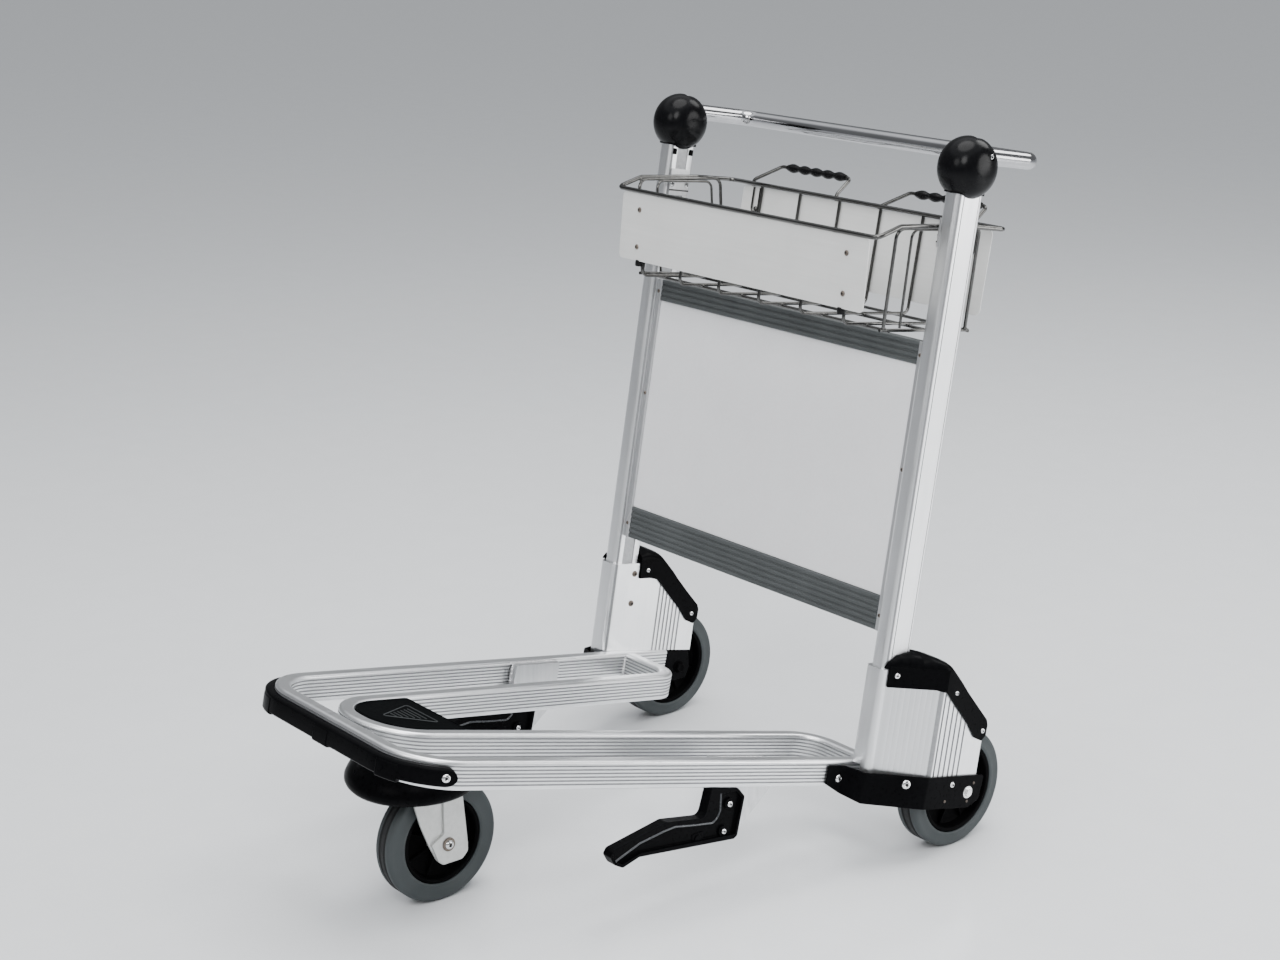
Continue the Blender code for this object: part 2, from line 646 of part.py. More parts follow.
def build_guard(side, tag):
    """Black cover over the top and the sloping back edge of the housing."""
    frame = lean_matrix(side)
    skin = 0.0030
    left = -0.0195 - GAP
    right = WALL_X + GAP
    out = [(left - skin, 0.0270), (0.0155 + GAP, 0.0270), (0.0155 + GAP, -0.0188)]
    out += [(flare_x(-0.0188) + GAP + skin, -0.0188), (right + skin, 0.0655)]
    out += [(right + skin, 0.1690), (left - skin, 0.1690)]
    guard = add_object("guard_" + tag, prism(flip(out, side), -0.05, 0.20), frame,
                       "black_plastic", angle=40)
    keep = [(-0.0220, 0.1165), (0.0500, 0.1165), (0.0670, 0.1130), (0.1250, 0.0600)]
    keep += [(0.1440, 0.0380), (0.1600, 0.0320), (0.1680, 0.0400), (0.1690, 0.0560)]
    keep += [(0.1650, 0.0650), (0.0722, 0.1470), (0.0600, 0.1560), (0.0450, 0.1620)]
    keep += [(0.0270, 0.1640), (0.0100, 0.1590), (-0.0220, 0.1460)]
    mask = add_object("mask", prism(rounded(keep, 0.003, 2), -0.10, 0.10, "X"), frame,
                      "black_plastic")
    combine(guard, [mask], "INTERSECT")
    inner = [(left, 0.0180), (flare_x(-0.030) + GAP, -0.0300), (right, 0.0630)]
    inner += [(right, HOUSING_REAR + GAP), (left, HOUSING_REAR + GAP)]
    roof = [(-0.10, -0.05), (HOUSING_REAR + GAP, -0.05), (HOUSING_REAR + GAP, 0.0622)]
    roof += [(0.0722, 0.1429), (-0.10, 0.1429)]
    hollow = add_object("hollow", prism(flip(inner, side), -0.06, 0.1429), frame, "black_plastic")
    under = add_object("under", prism(roof, -0.10, 0.10, "X"), frame, "black_plastic")
    combine(hollow, [under], "INTERSECT")
    wheel = lathe([(WHEEL_R + 0.003, -0.0235), (WHEEL_R + 0.003, 0.0235)], 40)
    wheel = add_object("wheel", wheel, axle_matrix(side * REAR_WHEEL_X, 0.0, AXLE_Z),
                       "black_plastic")
    combine(guard, [hollow, wheel])


def build_brackets(side, tag):
    """Outer axle bracket round the housing foot and inner axle plate."""
    line = [(0.2884, -0.2120), (0.2930, -0.1860), (0.3290, -0.1790)]
    line += [(0.3698, -0.0850), (0.3698, 0.0380)]
    line = rounded(line, [0, 0.006, 0.010, 0.012, 0], 3, closed=False)
    section = [(-0.0015, -0.0590), (0.0015, -0.0590), (0.0015, -0.0050), (-0.0015, -0.0050)]
    bracket = add_object("axle_bracket_" + tag, sweep_flat(flip(line, side), section),
                         deck_matrix(), "black_plastic", angle=40)
    keep = [(-0.2130, -0.0070), (-0.2130, -0.0350), (-0.1780, -0.0530), (-0.0600, -0.0545)]
    keep += [(-0.0200, -0.0560), (0.0150, -0.0560), (0.0360, -0.0440), (0.0380, -0.0060)]
    keep += [(-0.0300, -0.0055), (-0.1500, -0.0055)]
    mask = prism(rounded(keep, 0.004, 2), -0.5, 0.5, "X")
    mask = add_object("mask", mask, deck_matrix(), "black_plastic")
    combine(bracket, [mask], "INTERSECT")
    bore = lathe([(0.0063, 0.34), (0.0063, 0.40)], 20)
    if side < 0:
        bore = lathe([(0.0063, -0.40), (0.0063, -0.34)], 20)
    combine(bracket, [add_object("bore", bore, axle_matrix(0, 0, AXLE_Z), "black_plastic")])

    shape = [(-0.0290, 0.1600), (-0.0290, 0.0850), (-0.0150, 0.0680), (0.0150, 0.0680)]
    shape += [(0.0240, 0.0850), (0.0180, 0.1600)]
    low, high = sorted((side * 0.2934, side * 0.2964))
    plate = prism(rounded(shape, 0.004, 2), low, high, "X")
    plate = add_object("inner_plate_" + tag, plate, axle_matrix(), "black_plastic", angle=40)
    bore = lathe([(0.0063, side * 0.28), (0.0063, side * 0.31)], 20)
    combine(plate, [add_object("bore", bore, axle_matrix(0, 0, AXLE_Z), "black_plastic")])


def build_rear_wheel(side, tag):
    """Axle bolt, hub and tyre of one rear wheel."""
    near = side * (0.2931 - REAR_WHEEL_X)
    far = side * (0.3716 - REAR_WHEEL_X)
    bolt = [(0.0, near - side * 0.0070), (0.0085, near - side * 0.0070), (0.0085, near)]
    bolt += [(0.0060, near), (0.0060, far), (0.0090, far), (0.0090, far + side * 0.0012)]
    bolt += [(0.0068, far + side * 0.0012), (0.0068, far + side * 0.0045), (0.0, far + side * 0.0045)]
    frame = axle_matrix(side * REAR_WHEEL_X, 0.0, AXLE_Z)
    add_object("rear_axle_" + tag, lathe(bolt, 16), frame, "zinc_steel")
    build_wheel("rear_" + tag, frame, 0.0210, 0.0707, 0.0322)


def build_post(side, tag):
    """Hollow upright, knob, hinge pin, brake rod and brake shoe."""
    frame = lean_matrix(side)
    outer = post_section(POST_HALF_W, POST_HALF_D, 0.0085, 0.003, 4)
    inner = post_section(POST_HALF_W - POST_WALL, POST_HALF_D - POST_WALL, 0.006, 0.0015, 4)
    post = ring_prism(outer, inner, POST_BOTTOM, POST_TOP)
    add_object("post_" + tag, post, frame, "brushed_aluminium", angle=30)

    centre = lean_matrix(side, KNOB_H)
    profile = []
    for i in range(11):
        turn = math.pi * i / 10.0
        radius = KNOB_R * math.sin(turn) ** 0.75
        profile.append((radius if 0 < i < 10 else 0.0, -KNOB_HALF_T * math.cos(turn)))
    knob = add_object("knob_" + tag, lathe(profile, 20), centre, "black_plastic", angle=50)
    seat = post_section(POST_HALF_W + GAP, POST_HALF_D + GAP, 0.0085, 0.003, 4)
    seat = add_object("seat", prism(seat, -0.10, -0.0137), centre, "black_plastic")
    slot = [(-0.0035, 0.0360), (0.0600, 0.0360), (0.0600, -0.0105), (0.0140, 0.0010)]
    slot += [(-0.0035, 0.0030)]
    half = HANDLE_R + 0.0006
    slot = add_object("slot", prism(slot, -half, half, "X"), centre, "black_plastic")
    shaft = [(-0.0185, 0.0365), (0.0060, 0.0365), (0.0060, -0.0200), (-0.0185, -0.0200)]
    shaft = add_object("shaft", prism(shaft, -0.0074, 0.0074, "X"), centre, "black_plastic")
    pin_frame = lean_matrix(side, KNOB_H + PIVOT_Z, PIVOT_Y)
    pin_hole = [(0.0033, -side * 0.0220), (0.0033, side * 0.0287)]
    pin_hole += [(0.0051, side * 0.0287), (0.0051, side * 0.0450)]
    pin_hole = add_object("hole", lathe(pin_hole, 16), pin_frame, "black_plastic")
    combine(knob, [seat, slot, shaft, pin_hole])

    pin = [(0.0030, -side * 0.0215), (0.0030, side * 0.0290)]
    pin += [(0.0048, side * 0.0290), (0.0048, side * 0.0328)]
    add_object("hinge_pin_" + tag, lathe(pin, 16), pin_frame, "zinc_steel")

    rod_frame = lean_matrix(side, 0.0, ROD_Y)
    head = KNOB_H + PIVOT_Z + 0.0053
    rod = [(0.0035, 0.0210), (0.0035, head), (0.0060, head), (0.0060, head + 0.0030)]
    rod = lathe(rod, 12, "Z")
    add_object("brake_rod_" + tag, rod, rod_frame, "zinc_steel")

    arm = box(-0.0105, 0.0125, -0.0180, 0.0600, 0.0030, 0.0205)
    if side < 0:
        arm = box(-0.0125, 0.0105, -0.0180, 0.0600, 0.0030, 0.0205)
    shoe = add_object("brake_shoe_" + tag, arm, frame, "brake_rubber", angle=40)
    pad = [(0.0480, 0.0000), (0.0720, 0.0000), (0.0980, 0.0290), (0.0600, 0.0290)]
    low, high = sorted((side * 0.0050, side * 0.0430))
    pad = add_object("pad", prism(pad, low, high, "X"), frame, "brake_rubber")
    combine(shoe, [pad], "UNION")
    face = lathe([(WHEEL_R + 0.0006, -0.06), (WHEEL_R + 0.0006, 0.06)], 48)
    face = add_object("face", face, axle_matrix(side * REAR_WHEEL_X, 0.0, AXLE_Z), "brake_rubber")
    combine(shoe, [face])


# ---------------------------------------------------------------- upper structure

def build_handle():
    """Bent push bar with a lever in each end."""
    path = [(POST_X, 0.0, HANDLE_LIFT), (POST_X, HANDLE_BACK, HANDLE_LIFT)]
    path += [(-POST_X, HANDLE_BACK, HANDLE_LIFT), (-POST_X, 0.0, HANDLE_LIFT)]
    path = rounded(path, 0.028, 6, closed=False)
    path = [(x, y - PIVOT_Y, z - PIVOT_Z) for x, y, z in path]
    centre = lean_matrix(0.0, KNOB_H + PIVOT_Z, PIVOT_Y)
    bar = add_object("handle_bar", tube(path, HANDLE_R, 12, bore=0.0103), centre, "chrome", angle=40)
    hole = lathe([(0.0034, -0.40), (0.0034, 0.40)], 16)
    combine(bar, [add_object("hole", hole, centre, "chrome")])
    for side, tag in ((1.0, "left"), (-1.0, "right")):
        outline = [(-0.0270, -0.0050), (-0.0170, -0.0050), (-0.0120, -0.0060), (0.0140, -0.0060)]
        outline += [(0.0140, 0.0060), (-0.0140, 0.0050), (-0.0170, 0.0050), (-0.0270, 0.0050)]
        outline = rounded(outline, [0.004, 0.0, 0.0, 0.002, 0.002, 0.0, 0.0, 0.0045], 3)
        lever = prism(outline, -0.0064, 0.0064, "X")
        frame = lean_matrix(side, KNOB_H + PIVOT_Z, PIVOT_Y)
        lever = add_object("brake_lever_" + tag, lever, frame, "zinc_steel", angle=40)
        hole = lathe([(0.0034, -0.02), (0.0034, 0.02)], 16)
        fork = box(-0.0042, 0.0042, -0.0400, -0.0165, -0.02, 0.02)
        combine(lever, [add_object("cut", shape, frame, "zinc_steel") for shape in (hole, fork)])


def build_panel():
    """Sign panel between the posts with its cross bars and side channels."""
    frame = lean_matrix()
    half = POST_X - POST_HALF_W - GAP
    for name, low, ribs in (("lower_bar", 0.1900, 5), ("upper_bar", 0.5830, 3)):
        high = low + 0.0070 + 0.0088 * ribs
        profile = [(-0.0140, low), (-0.0140, low + 0.004)]
        for i in range(ribs):
            start = low + 0.0060 + 0.0088 * i
            profile += [(-0.0140, start), (-0.0128, start + 0.001), (-0.0128, start + 0.003),
                        (-0.0140, start + 0.004)]
        profile += [(-0.0140, high), (0.0060, high), (0.0060, low)]
        add_object(name, prism(profile, -0.2837, 0.2837, "X"), frame, "grey_anodised", angle=30)
    panel = rounded([(-0.2895, 0.2415), (0.2895, 0.2415), (0.2895, 0.5826), (-0.2895, 0.5826)],
                    0.003, 2)
    panel = add_object("sign_panel", prism(panel, -0.0110, -0.0080, "Y"), frame, "white_panel",
                       angle=40)
    field = [(-0.2830, 0.2420), (0.2830, 0.2420), (0.2830, 0.5820), (-0.2830, 0.5820)]
    field = add_object("field", prism(field, -0.0115, -0.0095, "Y"), frame, "white_panel")
    combine(panel, [field], "UNION")
    for side, tag in ((1.0, "left"), (-1.0, "right")):
        rail = [(0.2840, -0.0150), (half, -0.0150), (half, 0.0060), (0.2840, 0.0060)]
        rail += [(0.2840, -0.0075), (0.2900, -0.0075), (0.2900, -0.0115), (0.2840, -0.0115)]
        add_object("side_channel_" + tag, prism(flip(rail, side), 0.1900, 0.6164),
                   frame, "satin_aluminium", smooth=False)


def basket_point(x, y, height):
    """Point of the basket in the axle frame; height 0 is the floor, 1 the rim."""
    floor = 0.7985 - 0.135 * (y + 0.145)
    rim = 0.9400 - 0.105 * (y + 0.090)
    return (x, y, floor + (rim - floor) * height)


def build_basket():
    """Wire basket, its two sheets, lifting handles, grips and post brackets."""
    frame = axle_matrix()
    rim = [(0.284, -0.1410, 0.9290), (0.284, -0.0950, 0.9400), (0.287, 0.0250, 0.9285)]
    rim.append((0.298, 0.1100, 0.9150))
    rim += [(-x, y, z) for x, y, z in reversed(rim)]
    rim = rounded(rim, [0.012, 0.02, 0.02, 0.012, 0.012, 0.02, 0.02, 0.012], 2)
    basket = add_object("basket_frame", tube(rim, WIRE_R, 8, closed=True), frame,
                        "basket_steel", angle=60)
    wires = []
    for i in range(6):
        x = 0.0445 * (2 * i - 5)
        path = [(x, -0.1330, 0.8500), basket_point(x, -0.1430, 0.0), basket_point(x, 0.0820, 0.0)]
        path += [(x, 0.1095, 0.9155)]
        wires.append(rounded(path, 0.010, 2, closed=False))
    for side in (-1.0, 1.0):
        path = [(side * 0.2665, -0.1060, 0.7930), (side * 0.2820, -0.1000, 0.9372)]
        path += [(side * 0.2820, 0.0700, 0.9225), (side * 0.2665, 0.0640, 0.7700)]
        wires.append(rounded(path, 0.012, 2, closed=False))
    for y, height in ((-0.0950, 0.0), (-0.0100, 0.0), (0.0700, 0.0)):
        left = basket_point(0.2680, y, height)
        right = basket_point(-0.2680, y, height)
        drop = 0.0035
        wires.append([(left[0], left[1], left[2] - drop), (right[0], right[1], right[2] - drop)])
    for side in (-1.0, 1.0):
        wires.append([(side * 0.2655, -0.1120, 0.7915), (side * 0.2655, 0.0720, 0.7665)])
    parts = [add_object("wire", tube(path, THIN_WIRE_R, 6), frame, "basket_steel") for path in wires]
    combine(basket, parts, "UNION")

    front = rounded([(-0.2700, -0.0520), (0.2700, -0.0520), (0.2700, 0.0520), (-0.2700, 0.0520)],
                    0.008, 3)
    tilt = Matrix.Rotation(-math.atan(0.0928), 4, "X")
    add_object("front_sheet", prism(front, -0.0100, -0.0085, "Y"),
               axle_matrix(0.0, -0.1365, 0.8725) @ tilt, "painted_sheet", angle=40)
    rear = rounded([(-0.2700, -0.0630), (0.2700, -0.0630), (0.2700, 0.0640), (-0.2700, 0.0640)],
                   0.008, 3)
    tilt = Matrix.Rotation(-math.atan(0.183), 4, "X")
    add_object("rear_sheet", prism(rear, 0.0045, 0.0060, "Y"),
               axle_matrix(0.0, 0.0960, 0.8480) @ tilt, "painted_sheet", angle=40)

    for start, level, tag in ((-0.2530, 0.9415, "right"), (0.0327, 0.9350, "left")):
        back = LOOP_FOOT_Y + LOOP_SLANT
        end = start + LOOP_LENGTH
        wire = [(start, LOOP_FOOT_Y, 0.9000), (start, LOOP_FOOT_Y, level - 0.0225)]
        wire += [(start + 0.0350, back, level), (end, back, level)]
        wire += [(end, LOOP_FOOT_Y, level - 0.0225), (end, LOOP_FOOT_Y, 0.9000)]
        path = rounded(wire, 0.008, 2, closed=False)
        add_object("lift_wire_" + tag, tube(path, LOOP_WIRE_R, 8), frame, "basket_steel", angle=60)
        bore = LOOP_WIRE_R + 0.0004
        profile = [(bore, 0.0)]
        for i in range(GRIP_BEADS):
            profile.append((GRIP_NECK_R, GRIP_PITCH * i))
            profile.append((GRIP_BEAD_R, GRIP_PITCH * (i + 0.35)))
            profile.append((GRIP_BEAD_R, GRIP_PITCH * (i + 0.65)))
        length = GRIP_PITCH * GRIP_BEADS
        profile += [(GRIP_NECK_R, length), (bore, length)]
        grip = lathe(profile, 10, closed=True)
        add_object("grip_" + tag, grip, axle_matrix(start + 0.0475, back, level),
                   "black_plastic", angle=60)

    for side, tag in ((1.0, "left"), (-1.0, "right")):
        face = -POST_HALF_W - GAP
        clip = [(face - 0.0035, -0.0200), (face, -0.0200), (face, 0.0200), (face - 0.0035, 0.0200)]
        add_object("basket_bracket_" + tag, prism(flip(clip, side), 0.0, 0.0420),
                   lean_matrix(side, 0.7520), "satin_aluminium", angle=40)


def main():
    clear_scene()
    build_rails()
    build_caster()
    for side, tag in ((1.0, "left"), (-1.0, "right")):
        build_step_arm(side, tag)
        build_housing(side, tag)
        build_guard(side, tag)
        build_brackets(side, tag)
        build_rear_wheel(side, tag)
        build_post(side, tag)
    build_handle()
    build_panel()
    build_basket()
    bpy.context.view_layer.update()


main()
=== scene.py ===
"""Detailed look of the airport luggage trolley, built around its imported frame.

World frame: +X is the trolley's left side, -Y is the nose, +Z is up, floor at Z = 0.
Most positions are written in the axle frame: the same axes, with Y = 0 at the rear axle.
"""

import math

import bmesh
import bpy
from mathutils import Matrix, Vector


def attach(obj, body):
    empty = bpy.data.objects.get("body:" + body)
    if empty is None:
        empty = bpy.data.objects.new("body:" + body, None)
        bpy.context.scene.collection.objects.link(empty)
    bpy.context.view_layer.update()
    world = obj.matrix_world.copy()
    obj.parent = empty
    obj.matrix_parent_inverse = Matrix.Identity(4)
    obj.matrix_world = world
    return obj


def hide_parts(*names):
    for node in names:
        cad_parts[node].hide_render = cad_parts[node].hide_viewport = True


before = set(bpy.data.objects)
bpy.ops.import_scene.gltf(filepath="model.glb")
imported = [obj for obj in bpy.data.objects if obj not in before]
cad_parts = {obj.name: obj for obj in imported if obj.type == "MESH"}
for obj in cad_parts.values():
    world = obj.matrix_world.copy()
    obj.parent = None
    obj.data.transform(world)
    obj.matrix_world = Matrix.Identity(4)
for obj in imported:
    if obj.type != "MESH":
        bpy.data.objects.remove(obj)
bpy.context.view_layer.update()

# overall layout, as in the CAD part
AXLE_Y = 0.3624
WHEEL_R = 0.092
# half width of the tyre, radius of the hub and half length of its boss
CASTER_TYRE = (0.0185, 0.0655, 0.0236)
REAR_TYRE = (0.021, 0.0707, 0.0322)
AXLE_Z = 0.09
LIFT = WHEEL_R - AXLE_Z
REAR_WHEEL_X = 0.332
CASTER_WHEEL_Y = -0.704
SWIVEL_Y = -0.74
DECK_SLOPE = 0.224
DECK_Z = 0.1222
DECK_TILT = math.atan(DECK_SLOPE)
RAIL_W = 0.022
RAIL_H = 0.04
OUTER_X = 0.302
OUTER_TOE = 0.1286
INNER_X = 0.1755
INNER_TOE = 0.1219
OUTER_FRONT = -0.8805
INNER_FRONT = -0.848
OUTER_END = -0.032
INNER_END = -0.123
LEAN = math.atan(0.1686)
POST_X = 0.3095
FOOT_Y = -0.137
FOOT_Z = 0.16
POST_HALF_W = 0.0145
POST_HALF_D = 0.025
KNOB_H = 0.8678
KNOB_R = 0.045
KNOB_HALF_T = 0.036
HOUSING_TOP = 0.142
HOUSING_REAR = 0.164
SLOPE_START = 0.0722
WALL_X = 0.0585
HANDLE_R = 0.0125
HANDLE_LIFT = 0.019
HANDLE_BACK = 0.144
PIVOT_Y = 0.012
PIVOT_Z = 0.019
SIDES = ((1.0, "left"), (-1.0, "right"))


# ---------------------------------------------------------------- materials

class Recipe:
    """Node tree of one procedural material; noise scales count features per metre."""

    def __init__(self, name):
        self.mat = bpy.data.materials.new(name)
        self.mat.use_nodes = True
        self.tree = self.mat.node_tree
        self.shader = self.tree.nodes["Principled BSDF"]
        self.coords = self.tree.nodes.new("ShaderNodeTexCoord").outputs["Object"]

    def link(self, source, target):
        self.tree.links.new(source, target)

    def node(self, kind, **settings):
        """New shader node with some of its inputs set."""
        node = self.tree.nodes.new("ShaderNode" + kind)
        for name, value in settings.items():
            node.inputs[name.replace("_", " ")].default_value = value
        return node

    def noise(self, scale, stretch=(1, 1, 1), detail=4.0, rough=0.55):
        """Noise value over the piece's own coordinates."""
        mapping = self.node("Mapping", Scale=stretch)
        node = self.node("TexNoise", Scale=scale, Detail=detail, Roughness=rough)
        self.link(self.coords, mapping.inputs["Vector"])
        self.link(mapping.outputs["Vector"], node.inputs["Vector"])
        return node.outputs["Fac"]

    def span(self, value, low, high, to_low=0.0, to_high=1.0):
        """Rescale a value between two limits, clamped."""
        node = self.node("MapRange", From_Min=low, From_Max=high, To_Min=to_low, To_Max=to_high)
        self.link(value, node.inputs["Value"])
        return node.outputs["Result"]

    def mix(self, share, first, second):
        """Blend two colours, given as tuples or sockets."""
        node = self.node("Mix")
        node.data_type = "RGBA"
        self.link(share, node.inputs["Factor"])
        for socket, value in ((node.inputs[6], first), (node.inputs[7], second)):
            if isinstance(value, tuple):
                socket.default_value = (*value, 1.0)
            else:
                self.link(value, socket)
        return node.outputs[2]

    def add(self, first, second):
        """Sum of two values."""
        node = self.node("Math")
        self.link(first, node.inputs[0])
        self.link(second, node.inputs[1])
        return node.outputs[0]

    def bump(self, heights):
        """Bump from a list of (value, height in metres)."""
        normal = None
        for value, height in heights:
            node = self.node("Bump", Distance=height, Strength=1.0)
            self.link(value, node.inputs["Height"])
            if normal is not None:
                self.link(normal, node.inputs["Normal"])
            normal = node.outputs["Normal"]
        self.link(normal, self.shader.inputs["Normal"])


def surface(name, tones, gloss, metallic=0.0, streak=(1, 1, 1), grain=700.0, grain_height=0.00002,
            scuff=None, scuff_cut=0.64, dust=None, **values):
    """Material with mottled tones, streaked roughness, fine grain and optional scuffs.

    tones: (main, second) colours.  gloss: (lowest, highest) roughness.
    streak: stretch of the brushing along the piece's own axes.
    """
    recipe = Recipe(name)
    broad = recipe.noise(14.0, detail=5.0)
    brushed = recipe.noise(160.0, streak, detail=6.0, rough=0.6)
    fine = recipe.noise(grain, detail=3.0)
    both = recipe.span(recipe.add(broad, brushed), 0.7, 1.3)
    colour = recipe.mix(both, tones[0], tones[1])
    if dust:
        cover = recipe.noise(5.0, detail=8.0, rough=0.7)
        cover = recipe.span(cover, 0.5, 0.75, 0.0, 0.5)
        colour = recipe.mix(cover, colour, dust)
    roughness = recipe.span(brushed, 0.3, 0.7, gloss[0], gloss[1])
    if scuff:
        marks = recipe.noise(38.0, (1.0, 0.45, 1.6), detail=10.0, rough=0.75)
        marks = recipe.span(marks, scuff_cut, scuff_cut + 0.04, 0.0, 0.8)
        colour = recipe.mix(marks, colour, scuff)
    recipe.link(colour, recipe.shader.inputs["Base Color"])
    recipe.link(roughness, recipe.shader.inputs["Roughness"])
    recipe.bump([(fine, grain_height), (brushed, grain_height)])
    recipe.shader.inputs["Metallic"].default_value = metallic
    for socket, value in values.items():
        recipe.shader.inputs[socket.replace("_", " ")].default_value = value
    return recipe.mat


ALONG_Y = (1.0, 0.04, 1.0)
ALONG_Z = (1.0, 1.0, 0.04)
ALONG_X = (0.04, 1.0, 1.0)
ALUMINIUM = ((0.87, 0.875, 0.885), (0.8, 0.81, 0.82))
MARK = (0.42, 0.42, 0.43)

LOOKS = {
    "rail": surface("rail_aluminium", ALUMINIUM, (0.3, 0.4), 1.0, ALONG_Y, scuff=MARK,
                    scuff_cut=0.72, grain_height=0.000006),
    "post": surface("post_aluminium", ALUMINIUM, (0.28, 0.38), 1.0, ALONG_Z, scuff=MARK,
                    scuff_cut=0.74, grain_height=0.000006),
    "satin": surface("satin_aluminium", ((0.7, 0.7, 0.71), (0.58, 0.59, 0.6)), (0.34, 0.5), 1.0,
                     ALONG_Z, grain_height=0.00004),
    "weld": surface("weld_metal", ((0.78, 0.78, 0.78), (0.52, 0.52, 0.53)), (0.28, 0.5), 1.0,
                    grain=420.0, grain_height=0.0002),
    "grey": surface("grey_anodised", ((0.12, 0.129, 0.13), (0.088, 0.096, 0.097)),
                    (0.38, 0.52), 0.55, ALONG_X),
    "chrome": surface("chrome_tube", ((0.46, 0.46, 0.47), (0.38, 0.38, 0.39)), (0.06, 0.14), 1.0,
                      ALONG_X, grain_height=0.000004),
    "zinc": surface("zinc_steel", ((0.74, 0.74, 0.73), (0.6, 0.61, 0.61)), (0.24, 0.42), 1.0,
                    scuff=(0.35, 0.34, 0.32), scuff_cut=0.7),
    "fork": surface("fork_steel", ((0.63, 0.635, 0.62), (0.54, 0.545, 0.53)), (0.34, 0.5), 0.55,
                    scuff=(0.8, 0.8, 0.78), scuff_cut=0.7, grain_height=0.00006),
    "screw": surface("screw_steel", ((0.86, 0.86, 0.86), (0.66, 0.66, 0.66)), (0.12, 0.3), 1.0),
    "bolt_dark": surface("dark_bolt", ((0.2, 0.17, 0.14), (0.11, 0.09, 0.08)), (0.35, 0.55), 0.8),
    # darker aluminium for the faces in grooves and flutes: painted shade
    "groove": surface("groove_shade_aluminium", ((0.4, 0.405, 0.415), (0.33, 0.335, 0.34)), (0.42, 0.55),
                      1.0),
    # near black inside screw drives: painted shade
    "recess_shade": surface("drive_recess_shade", ((0.012, 0.012, 0.012), (0.03, 0.028, 0.026)), (0.6, 0.8)),
    "wire": surface("basket_wire", ((0.125, 0.124, 0.12), (0.075, 0.074, 0.071)),
                    (0.12, 0.24), 1.0, ALONG_X, grain_height=0.00001),
    "sheet": surface("painted_sheet", ((0.76, 0.76, 0.745), (0.7, 0.7, 0.685)),
                     (0.34, 0.46), 0.12, ALONG_X, scuff=(0.5, 0.5, 0.49), scuff_cut=0.73,
                     grain_height=0.00001),
    "panel": surface("white_panel", ((0.84, 0.84, 0.855), (0.79, 0.79, 0.805)), (0.26, 0.42),
                     grain_height=0.000015, scuff=(0.68, 0.68, 0.69), scuff_cut=0.715),
    "black": surface("black_plastic", ((0.0018, 0.0018, 0.0021), (0.0034, 0.0035, 0.004)),
                     (0.24, 0.38), grain=1100.0, grain_height=0.00003, scuff=(0.03, 0.03, 0.032),
                     scuff_cut=0.745, Specular_IOR_Level=0.022),
    "gloss": surface("gloss_plastic", ((0.0022, 0.0022, 0.0026), (0.0042, 0.0043, 0.005)),
                     (0.16, 0.26), grain=1100.0, grain_height=0.00002, scuff=(0.03, 0.03, 0.032),
                     scuff_cut=0.745, Specular_IOR_Level=0.1),
    # lighter black for the step arm's ridge bead: a painted highlight line
    "painted_highlight": surface("painted_highlight_plastic", ((0.02, 0.023, 0.026), (0.032, 0.035, 0.04)), (0.2, 0.3),
                     Specular_IOR_Level=0.5),
    "plate": surface("plate_plastic", ((0.0016, 0.0019, 0.0021), (0.003, 0.0034, 0.0037)),
                     (0.5, 0.62), grain=1100.0, grain_height=0.00003, Specular_IOR_Level=0.012),
    "hub": surface("black_hub", ((0.0015, 0.0015, 0.0017), (0.003, 0.003, 0.0033)), (0.42, 0.6),
                   grain=900.0, grain_height=0.00005, dust=(0.006, 0.006, 0.006),
                   Specular_IOR_Level=0.016),
    "label": surface("moulded_ribs", ((0.022, 0.025, 0.026), (0.036, 0.039, 0.041)), (0.4, 0.6),
                     Specular_IOR_Level=0.2),
    "tyre": surface("grey_rubber", ((0.034, 0.041, 0.043), (0.047, 0.055, 0.057)), (0.5, 0.72),
                    grain=1300.0, grain_height=0.00008, dust=(0.062, 0.069, 0.07),
                    Specular_IOR_Level=0.35),
    # darker rubber for the tread band: painted shade in its grooves
    "tread": surface("tread_groove_shade", ((0.012, 0.013, 0.0135), (0.02, 0.021, 0.022)), (0.6, 0.85),
                     grain=1300.0, grain_height=0.0001, dust=(0.04, 0.04, 0.038),
                     Specular_IOR_Level=0.3),
    "brake": surface("brake_rubber", ((0.012, 0.012, 0.012), (0.022, 0.021, 0.02)), (0.6, 0.85),
                     grain=1000.0, grain_height=0.0001, Specular_IOR_Level=0.1),
    "grip": surface("grip_plastic", ((0.003, 0.003, 0.0034), (0.0055, 0.0055, 0.006)),
                    (0.18, 0.3), Specular_IOR_Level=0.14),
}


# ---------------------------------------------------------------- placing

def deck_matrix():
    """Frame of the rails: origin on the rail top plane above the axle line."""
    return Matrix.Translation((0.0, AXLE_Y, DECK_Z + LIFT)) @ Matrix.Rotation(-DECK_TILT, 4, "X")


def lean_matrix(side=0.0, height=0.0, back=0.0):
    """Frame of the posts, moved up the post by height and backwards by back."""
    base = Matrix.Translation((side * POST_X, AXLE_Y + FOOT_Y, FOOT_Z + LIFT))
    return base @ Matrix.Rotation(-LEAN, 4, "X") @ Matrix.Translation((0.0, back, height))


def axle_matrix(x=0.0, y=0.0, z=0.0):
    """Upright frame at a point given in the axle frame."""
    return Matrix.Translation((x, AXLE_Y + y, z + LIFT))


def facing(point, direction):
    """Matrix that puts a part's +Z along a direction at a point."""
    turn = Vector(direction).to_track_quat("Z", "Y").to_matrix().to_4x4()
    return Matrix.Translation(point) @ turn


def moved(shape, matrix):
    """Move a bmesh and give it back."""
    bmesh.ops.transform(shape, matrix=matrix, verts=shape.verts)
    return shape


def merged(shapes):
    """Put several bmeshes in one."""
    whole = bmesh.new()
    for shape in shapes:
        scratch = bpy.data.meshes.new("scratch")
        shape.to_mesh(scratch)
        shape.free()
        whole.from_mesh(scratch)
        bpy.data.meshes.remove(scratch)
    return whole


